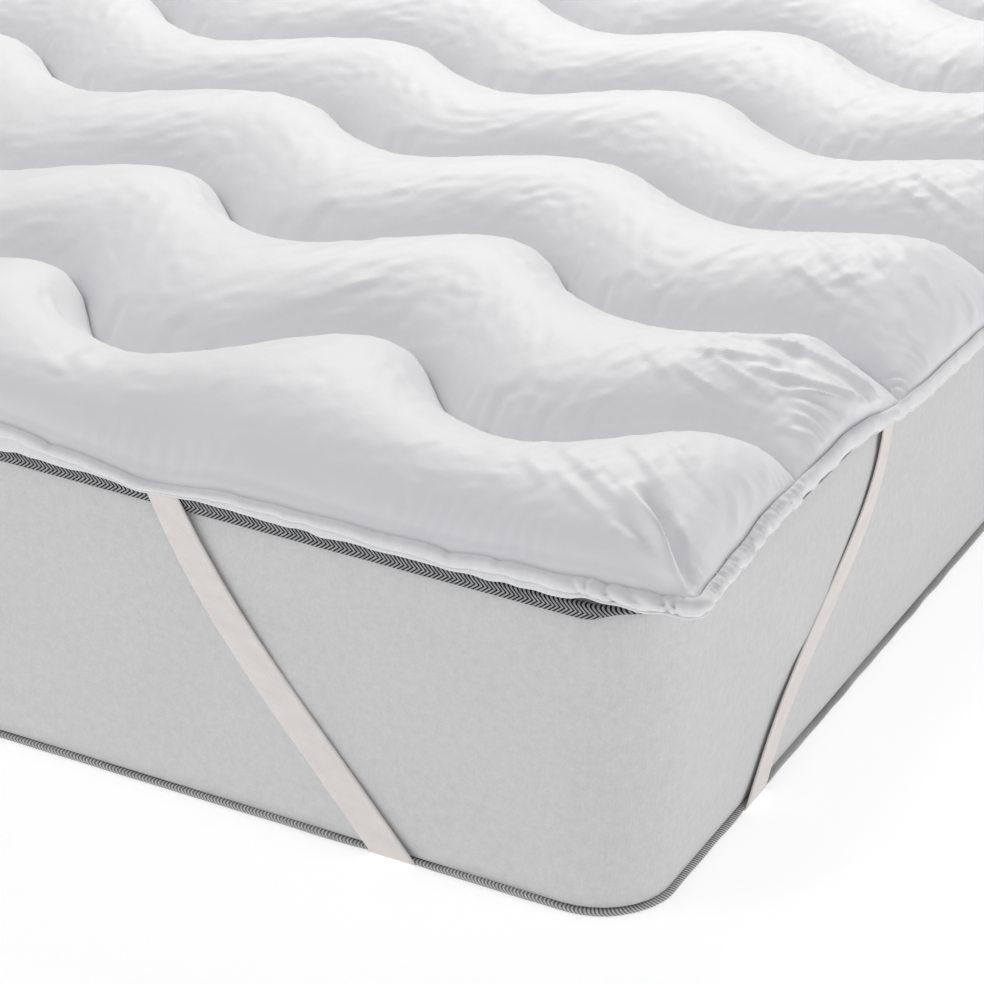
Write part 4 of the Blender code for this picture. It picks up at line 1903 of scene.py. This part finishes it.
@dataclass
class EdgeTape:
    """One of the two woven tapes round the mattress."""

    bed: Bed
    name: str
    node: str
    bottom: float
    height: float
    # How high the herringbone turns, as a share of the height.
    spine: float = 0.5
    depth: float = 0.0080
    proud: float = 0.0025
    step: float = 0.0060
    profile_steps: int = 16
    squareness: float = 0.55
    # How far it is squeezed over a strap, and worn down in places.
    strap_lift: float = 0.0
    strap_reach: float = 0.026
    unevenness: float = 0.0
    # Its height round the corners, if it tapers, and where it does so.
    corner_height: float = 0.0
    corner_from: float = 0.062
    corner_to: float = 0.034
    dents: Unevenness = Unevenness(1.0, 0.070, 21)
    dent_depth: float = 0.0003
    wear: Unevenness = Unevenness(0.6, 0.180, 22)
    worn_share: float = 0.45

    @property
    def width(self) -> float:
        """How far it reaches from its back to its front."""
        return self.depth + self.proud - FIT_GAP

    def height_at(self, where: np.ndarray) -> np.ndarray:
        """Finds the tape's height, which is less round the corners if it tapers.

        Args:
            where: Places on the path.

        Returns:
            The height at each place.
        """
        if not self.corner_height:
            return np.full(len(where), self.height)
        in_x = self.bed.half_width - np.abs(where[:, 0])
        in_y = self.bed.half_length - np.abs(where[:, 1])
        share = (self.corner_from - np.maximum(in_x, in_y)) / (self.corner_from - self.corner_to)
        return self.height + smooth_step(share) * (self.corner_height - self.height)

    def shape(
        self, distance: np.ndarray, where: np.ndarray, turn: np.ndarray
    ) -> tuple[np.ndarray, np.ndarray]:
        """Gives the tape's section at each point, as band() asks.

        Args:
            distance: How far along the path.
            where: The place on the path.
            turn: The turn round the section.

        Returns:
            How far outwards each point lies, and how high.
        """
        cosine, sine = np.cos(turn), np.sin(turn)
        out = self.width / 2 * np.sign(cosine) * np.abs(cosine) ** self.squareness
        up = self.height / 2 * np.sign(sine) * np.abs(sine) ** self.squareness
        path = distance[:, None]
        out = out - self.dent_depth * smooth_step(cosine) * (1 + self.dents.at(path))
        from_bottom = up + self.height / 2
        worn = smooth_step(self.worn_share + self.wear.at(path))
        from_bottom = from_bottom * (1 - self.unevenness * worn)
        height = self.height_at(where)
        from_bottom = from_bottom * height / self.height + self.height - height
        # Where a strap passes below, the tape is squeezed up over it.
        from_side = self.bed.half_width - np.abs(where[:, 0])
        from_end = self.bed.half_length - np.abs(where[:, 1])
        off_end = np.abs(from_side - END_SLANT.bottom)
        off_side = np.abs(from_end - SIDE_SLANT.bottom)
        off = np.where(from_end < self.depth, off_end, off_side) / self.strap_reach
        squeezed = self.strap_lift * np.exp(-(off**4))
        from_bottom = squeezed + from_bottom * (1 - squeezed / self.height)
        return out, from_bottom + self.bottom

    def build(self, material: bpy.types.Material) -> bpy.types.Object:
        """Makes the tape, with an attribute that says how high on it each point is.

        Args:
            material: The tape's material.

        Returns:
            The tape's object.
        """
        outwards = self.proud - self.width / 2
        outline = Outline(
            self.bed.half_width + outwards, self.bed.half_length + outwards, self.bed.corner + outwards
        )
        girth = 2 * (self.height + self.width)
        mesh = band(self.name, outline, self.step, self.profile_steps, self.shape, girth)
        across = points_of(mesh)[:, 2] - self.bottom - self.spine * self.height
        attribute = mesh.attributes.new("across", "FLOAT", "POINT")
        attribute.data.foreach_set("value", across)
        tape = new_object(self.name, mesh)
        dress(tape, material, self.node)
        return tape


@dataclass
class CornerStrap:
    """An elastic strap that runs from the binding under the corner and back up."""

    bed: Bed
    corner: CornerSpot
    # It narrows a little towards its top, where it is drawn, and spreads towards its foot.
    neck: float = 0.20
    spread_from: float = 0.60
    thickness: float = 0.0012
    bend: float = 0.0030
    level: float = 0.0015
    clear: float = 0.0028
    top_height: float = 0.2520
    slant_steps: int = 60
    bend_steps: int = 6
    under_steps: int = 24
    rails: int = 10
    flat_width: float = 0.029
    flat_length: float = 0.900

    def stations(self) -> list[tuple[str, float]]:
        """Lists the places along the strap where its rows of points lie.

        Returns:
            The name of the stretch and the share along it, for each place.
        """
        counts = (
            ("end_slant", self.slant_steps),
            ("end_bend", self.bend_steps),
            ("under", self.under_steps),
            ("side_bend", self.bend_steps),
            ("side_slant", self.slant_steps),
        )
        stations = [("end_slant", 0.0)]
        for stretch, count in counts:
            stations += [(stretch, step / count) for step in range(1, count + 1)]
        return stations

    def half_width_at(self, slant: StrapSlant, share: float, drop: float) -> float:
        """Finds half of what the flat strap covers of a level line.

        Args:
            slant: The strap's slant on this side.
            share: The share of the slant from its top.
            drop: The slant's height.

        Returns:
            Half the width, which is more where it slants more.
        """
        run = slant.bottom - slant.top + math.pi * slant.bow * math.cos(math.pi * share)
        run += FULL_TURN * slant.sway * math.cos(FULL_TURN * share)
        half_width = self.flat_width / 2 * math.hypot(1.0, run / drop)
        half_width *= 1 - self.neck * (1 - share) ** 4
        spread = max(0.0, (share - self.spread_from) / (1 - self.spread_from))
        return half_width + spread * spread * (slant.half_width - half_width)

    def on_slant(self, slant: StrapSlant, share: float, rail: float) -> tuple[float, float, float]:
        """Places a point on a slant.

        Args:
            slant: The strap's slant on this side.
            share: The share of the slant from its top.
            rail: From -1 to 1 across the strap.

        Returns:
            How far along from the corner, how far outwards, and the height.
        """
        foot = self.level + self.bend
        drop = self.top_height - foot
        along = slant.top + share * (slant.bottom - slant.top)
        along += slant.bow * math.sin(math.pi * share)
        along += slant.sway * math.sin(FULL_TURN * share)
        along += rail * self.half_width_at(slant, share, drop)
        outwards = self.clear + slant.stand_off * math.sqrt(1 - share)
        rise = slant.top_rise * (1 - share) ** 6
        return along, outwards, self.top_height - share * drop + rise

    def in_bend(self, slant: StrapSlant, share: float, rail: float) -> tuple[float, float, float]:
        """Places a point on the turn under the mattress's edge.

        Args:
            slant: The strap's slant on this side.
            share: The share of the turn, from 0 at the mattress's side.
            rail: From -1 to 1 across the strap.

        Returns:
            How far along from the corner, how far outwards, and the height.
        """
        angle = share * math.pi / 2
        return (
            slant.bottom + rail * slant.half_width,
            self.clear - self.bend + self.bend * math.cos(angle),
            self.level + self.bend - self.bend * math.sin(angle),
        )

    def place(self, stretch: str, share: float, rail: float) -> tuple[float, float, float]:
        """Places a point on the strap's inner face.

        Args:
            stretch: The name of the stretch.
            share: The share along it.
            rail: From -1 to 1 across the strap.

        Returns:
            Offsets outwards from the corner across and along the bed, and the height.
        """
        if stretch == "end_slant":
            along, outwards, height = self.on_slant(END_SLANT, share, rail)
            return -along, outwards, height
        if stretch == "end_bend":
            along, outwards, height = self.in_bend(END_SLANT, share, rail)
            return -along, outwards, height
        if stretch == "side_bend":
            along, outwards, height = self.in_bend(SIDE_SLANT, 1 - share, rail)
            return outwards, -along, height
        if stretch == "side_slant":
            along, outwards, height = self.on_slant(SIDE_SLANT, 1 - share, rail)
            return outwards, -along, height
        inset = self.clear - self.bend
        across = -END_SLANT.bottom - rail * END_SLANT.half_width
        down = -SIDE_SLANT.bottom - rail * SIDE_SLANT.half_width
        return across + share * (inset - across), inset + share * (down - inset), self.level

    def build(self, material: bpy.types.Material) -> bpy.types.Object:
        """Makes the strap.

        Args:
            material: The strap's material.

        Returns:
            The strap's object.
        """
        stations = self.stations()
        grid = np.array(
            [
                [self.place(stretch, share, 2 * rail / self.rails - 1) for rail in range(self.rails + 1)]
                for stretch, share in stations
            ]
        )
        sides = np.array((self.corner.side_x, self.corner.side_y, 1))
        origin = np.array((self.bed.half_width, self.bed.half_length, 0.0))
        name = f"elastic_{self.corner.name}"
        mesh = cloth_grid(
            name,
            len(stations) - 1,
            self.rails,
            lambda column, row: (grid[column, row] + origin) * sides,
            (self.flat_length, self.flat_width),
        )
        build = bmesh.new()
        build.from_mesh(mesh)
        lowest = min(build.faces, key=lambda face: face.calc_center_median().z)
        lowest.normal_update()
        if lowest.normal.z > 0:
            bmesh.ops.reverse_faces(build, faces=build.faces)
        build.to_mesh(mesh)
        build.free()
        mesh.shade_smooth()
        strap = new_object(name, mesh)
        body = strap.modifiers.new("thickness", "SOLIDIFY")
        body.thickness = self.thickness
        body.offset = 1.0
        body.use_even_offset = True
        dress(strap, material, f"strap_{self.corner.name}")
        return strap


@dataclass
class MattressBody:
    """The mattress: soft knitted borders between the tapes, and flat panels."""

    bed: Bed
    tape: EdgeTape
    tape_depth: float = 0.0080
    border_low: float = 0.0059
    step: float = 0.0120
    border_rows: int = 22
    bulge: float = 0.0020
    # How far the border is drawn in at the tapes, and over what share of its height.
    seam_pull: float = 0.0022
    seam_share: float = 0.05
    border_height: float = 0.24
    large_swells: Unevenness = Unevenness(0.0010, 0.160, 31)
    small_swells: Unevenness = Unevenness(0.0003, 0.045, 32)
    groove_depth: float = 0.0022
    groove_half: float = 0.0185
    sharp_angle: float = 50.0
    fill: float = 0.95

    def border_out(self, where: np.ndarray, share: np.ndarray) -> np.ndarray:
        """Finds how far outwards the border stands.

        Args:
            where: Places on the path.
            share: The share of the border's height.

        Returns:
            How far out each point is.
        """
        from_tape = np.minimum(share, 1 - share)
        tucked = np.exp(-from_tape / self.seam_share)
        round_out = self.bulge * np.sin(math.pi * share)
        spot = np.column_stack((where, share * self.border_height))
        soft = self.large_swells.at(spot) + self.small_swells.at(spot)
        return round_out - self.seam_pull * tucked + soft * np.sin(math.pi * share)

    def build(self, material: bpy.types.Material) -> bpy.types.Object:
        """Makes the mattress: the border all round, then its top and its underside.

        Args:
            material: The border's and the panels' material.

        Returns:
            The mattress's object.
        """
        outline = Outline(self.bed.half_width, self.bed.half_length, self.bed.corner)
        low = self.border_low
        stations = round(outline.length() / self.step)

        def place(column: np.ndarray, row: np.ndarray) -> np.ndarray:
            """Puts each point of the border in its place."""
            where, outwards = outline.walk(column * (outline.length() / stations))
            share = row / self.border_rows
            flat = where + outwards * self.border_out(where, share)[:, None]
            high = self.bed.height - self.tape.height_at(where) - FIT_GAP
            return np.column_stack((flat, low + share * (high - low)))

        mesh = cloth_grid(
            "mattress_body", stations, self.border_rows, place, (outline.length(), self.bed.height)
        )
        build = bmesh.new()
        build.from_mesh(mesh)
        bmesh.ops.remove_doubles(build, verts=build.verts, dist=MERGE_DISTANCE)
        for is_top in (True, False):
            self.add_panel(build, is_top)
        bmesh.ops.recalc_face_normals(build, faces=build.faces)
        build.to_mesh(mesh)
        build.free()
        mesh.shade_smooth()
        mesh.set_sharp_from_angle(angle=math.radians(self.sharp_angle))
        body = new_object("mattress_body", mesh)
        dress(body, material, "mattress")
        return body

    def add_panel(self, build: bmesh.types.BMesh, is_top: bool) -> None:
        """Closes the border with a panel that is stepped in behind the tape.

        Args:
            build: The border, open at this end.
            is_top: True for the top panel.
        """
        middle = self.bed.height / 2
        rim = [
            edge for edge in build.edges if edge.is_boundary and (edge.verts[0].co.z > middle) == is_top
        ]
        panel = bmesh.ops.contextual_create(build, geom=rim)["faces"]
        bmesh.ops.inset_region(build, faces=panel, thickness=self.tape_depth)
        raised = bmesh.ops.extrude_face_region(build, geom=panel)["geom"]
        corners = [item for item in raised if isinstance(item, bmesh.types.BMVert)]
        for corner in corners:
            corner.co.z = self.bed.height if is_top else 0.0
        bmesh.ops.delete(build, geom=panel, context="FACES_ONLY")
        if is_top:
            return
        floor_faces = [item for item in raised if isinstance(item, bmesh.types.BMFace)]
        self.press_grooves(build, floor_faces)

    def press_grooves(self, build: bmesh.types.BMesh, faces: list[bmesh.types.BMFace]) -> None:
        """Presses the underside in where the straps cross its corners.

        Args:
            build: The mattress.
            faces: The underside's faces.
        """
        for corner in CORNERS:
            start = Vector((self.bed.half_width - END_SLANT.bottom, self.bed.half_length))
            end = Vector((self.bed.half_width, self.bed.half_length - SIDE_SLANT.bottom))
            across = Vector((end.y - start.y, start.x - end.x)).normalized()
            across = Vector((across.x * corner.side_x, across.y * corner.side_y, 0.0))
            spot = Vector((start.x * corner.side_x, start.y * corner.side_y, 0.0))
            for offset in (-2, -1, 1, 2):
                geom = list(faces)
                geom += dict.fromkeys(edge for face in faces for edge in face.edges)
                geom += dict.fromkeys(vert for face in faces for vert in face.verts)
                cut = bmesh.ops.bisect_plane(
                    build,
                    geom=geom,
                    plane_co=spot + across * (offset * self.groove_half),
                    plane_no=across,
                )
                faces = [f for f in cut["geom"] if isinstance(f, bmesh.types.BMFace)]
            for vertex in {vert for face in faces for vert in face.verts}:
                if abs((vertex.co - spot).dot(across)) < 1.5 * self.groove_half:
                    vertex.co.z += self.groove_depth


# --- Studio ---


@dataclass(frozen=True)
class SoftBox:
    """A large soft lamp."""

    name: str
    place: tuple[float, float, float]
    aim: tuple[float, float, float]
    size: float
    power: float
    colour: str = "#FFFFFF"


@dataclass
class Studio:
    """A plain pale floor, soft light and the camera at the photograph's angle."""

    camera_place: tuple[float, float, float] = (1.478787, -2.958319, 1.375605)
    azimuth: float = 24.5745
    elevation: float = 25.3905
    roll: float = 3.4638
    lens: float = 124.875
    sensor: float = 36.0
    floor_colour: str = "#F4F4F4"
    floor_glow: float = 0.47
    floor_size: float = 9.0
    sky: float = 0.465
    sky_colour: str = "#FCFCFF"
    lamps: tuple[SoftBox, ...] = (
        SoftBox("over_the_head", (-0.9, 3.0, 2.8), (0.1, -0.1, 0.25), 2.2, 105.0, "#FFFEFA"),
        SoftBox("over_the_foot", (-2.2, -3.2, 1.9), (-0.3, -0.7, 0.15), 2.4, 22.0),
        SoftBox("beside_the_bed", (3.6, -0.4, 1.3), (0.7, -0.2, 0.15), 2.2, 12.5),
    )

    def camera(self) -> None:
        """Places the camera by the direction it looks in."""
        data = bpy.data.cameras.new("photo_camera")
        data.lens = self.lens
        data.sensor_width = self.sensor
        camera = new_object("photo_camera", data)
        azimuth, elevation = math.radians(self.azimuth), math.radians(self.elevation)
        turn = (
            Matrix.Rotation(azimuth, 4, "Z")
            @ Matrix.Rotation(math.pi / 2 - elevation, 4, "X")
            @ Matrix.Rotation(math.radians(self.roll), 4, "Z")
        )
        camera.matrix_world = Matrix.Translation(self.camera_place) @ turn
        bpy.context.scene.camera = camera

    def light(self) -> None:
        """Hangs the lamps and sets the pale sky."""
        for lamp in self.lamps:
            data = bpy.data.lights.new(lamp.name, "AREA")
            data.energy = lamp.power
            data.size = lamp.size
            data.color = linear(lamp.colour)[:3]
            obj = new_object(lamp.name, data)
            obj.location = lamp.place
            towards = Vector(lamp.aim) - Vector(lamp.place)
            obj.rotation_euler = towards.to_track_quat("-Z", "Y").to_euler()
        world = bpy.data.worlds.new("white_sky")
        world.use_nodes = True
        sky = world.node_tree.nodes["Background"]
        sky.inputs["Color"].default_value = linear(self.sky_colour)
        sky.inputs["Strength"].default_value = self.sky
        bpy.context.scene.world = world
        bpy.context.scene.view_settings.view_transform = "Standard"

    def floor(self) -> None:
        """Lays the floor."""
        build = bmesh.new()
        bmesh.ops.create_grid(build, x_segments=1, y_segments=1, size=self.floor_size)
        floor = new_object("studio_floor", mesh_from(build, "studio_floor"))
        material, _, shader = new_material("paper_backdrop_matt")
        shader.inputs["Base Color"].default_value = linear(self.floor_colour)
        shader.inputs["Roughness"].default_value = 0.95
        shader.inputs["Specular IOR Level"].default_value = 0.0
        shader.inputs["Emission Color"].default_value = (1.0, 1.0, 1.0, 1.0)
        shader.inputs["Emission Strength"].default_value = self.floor_glow
        floor.data.materials.append(material)

    def build(self) -> None:
        """Sets the studio up."""
        self.floor()
        self.light()
        self.camera()


def main() -> None:
    """Builds every sub-assembly in order and sets the studio up."""
    logging.basicConfig(level=logging.INFO, format="%(name)s %(message)s")
    bed = Bed.measured()
    hang = EdgeHang(bed)
    knit = BorderKnit().material()
    tape = HerringboneTape().material()
    worn_tape = HerringboneTape(
        name="polyester_tape_herringbone_worn",
        light="#E8E8E6",
        shade="#7C7C7D",
        roughness=0.78,
        pitch=0.0030,
    ).material()
    microfibre = Microfibre().material()
    piping = BindingCloth().material()
    elastic = WovenElastic().material()

    height = 0.0120
    top_tape = EdgeTape(
        bed,
        "border_tape_top",
        "edge_tape_top",
        bottom=bed.height - height,
        height=height,
        corner_height=0.0030,
    )
    MattressBody(bed, top_tape).build(knit)
    top_tape.build(tape)
    EdgeTape(
        bed,
        "border_tape_bottom",
        "edge_tape_bottom",
        bottom=0.0004,
        height=0.0052,
        spine=0.0,
        strap_lift=0.0016,
        unevenness=0.35,
    ).build(worn_tape)
    pad = QuiltedPad(bed, hang)
    pad.build(microfibre)
    EdgeBinding(bed, pad, hang).build(piping)
    for corner in CORNERS:
        CornerStrap(bed, corner).build(elastic)
    Studio().build()


if __name__ == "__main__":
    main()
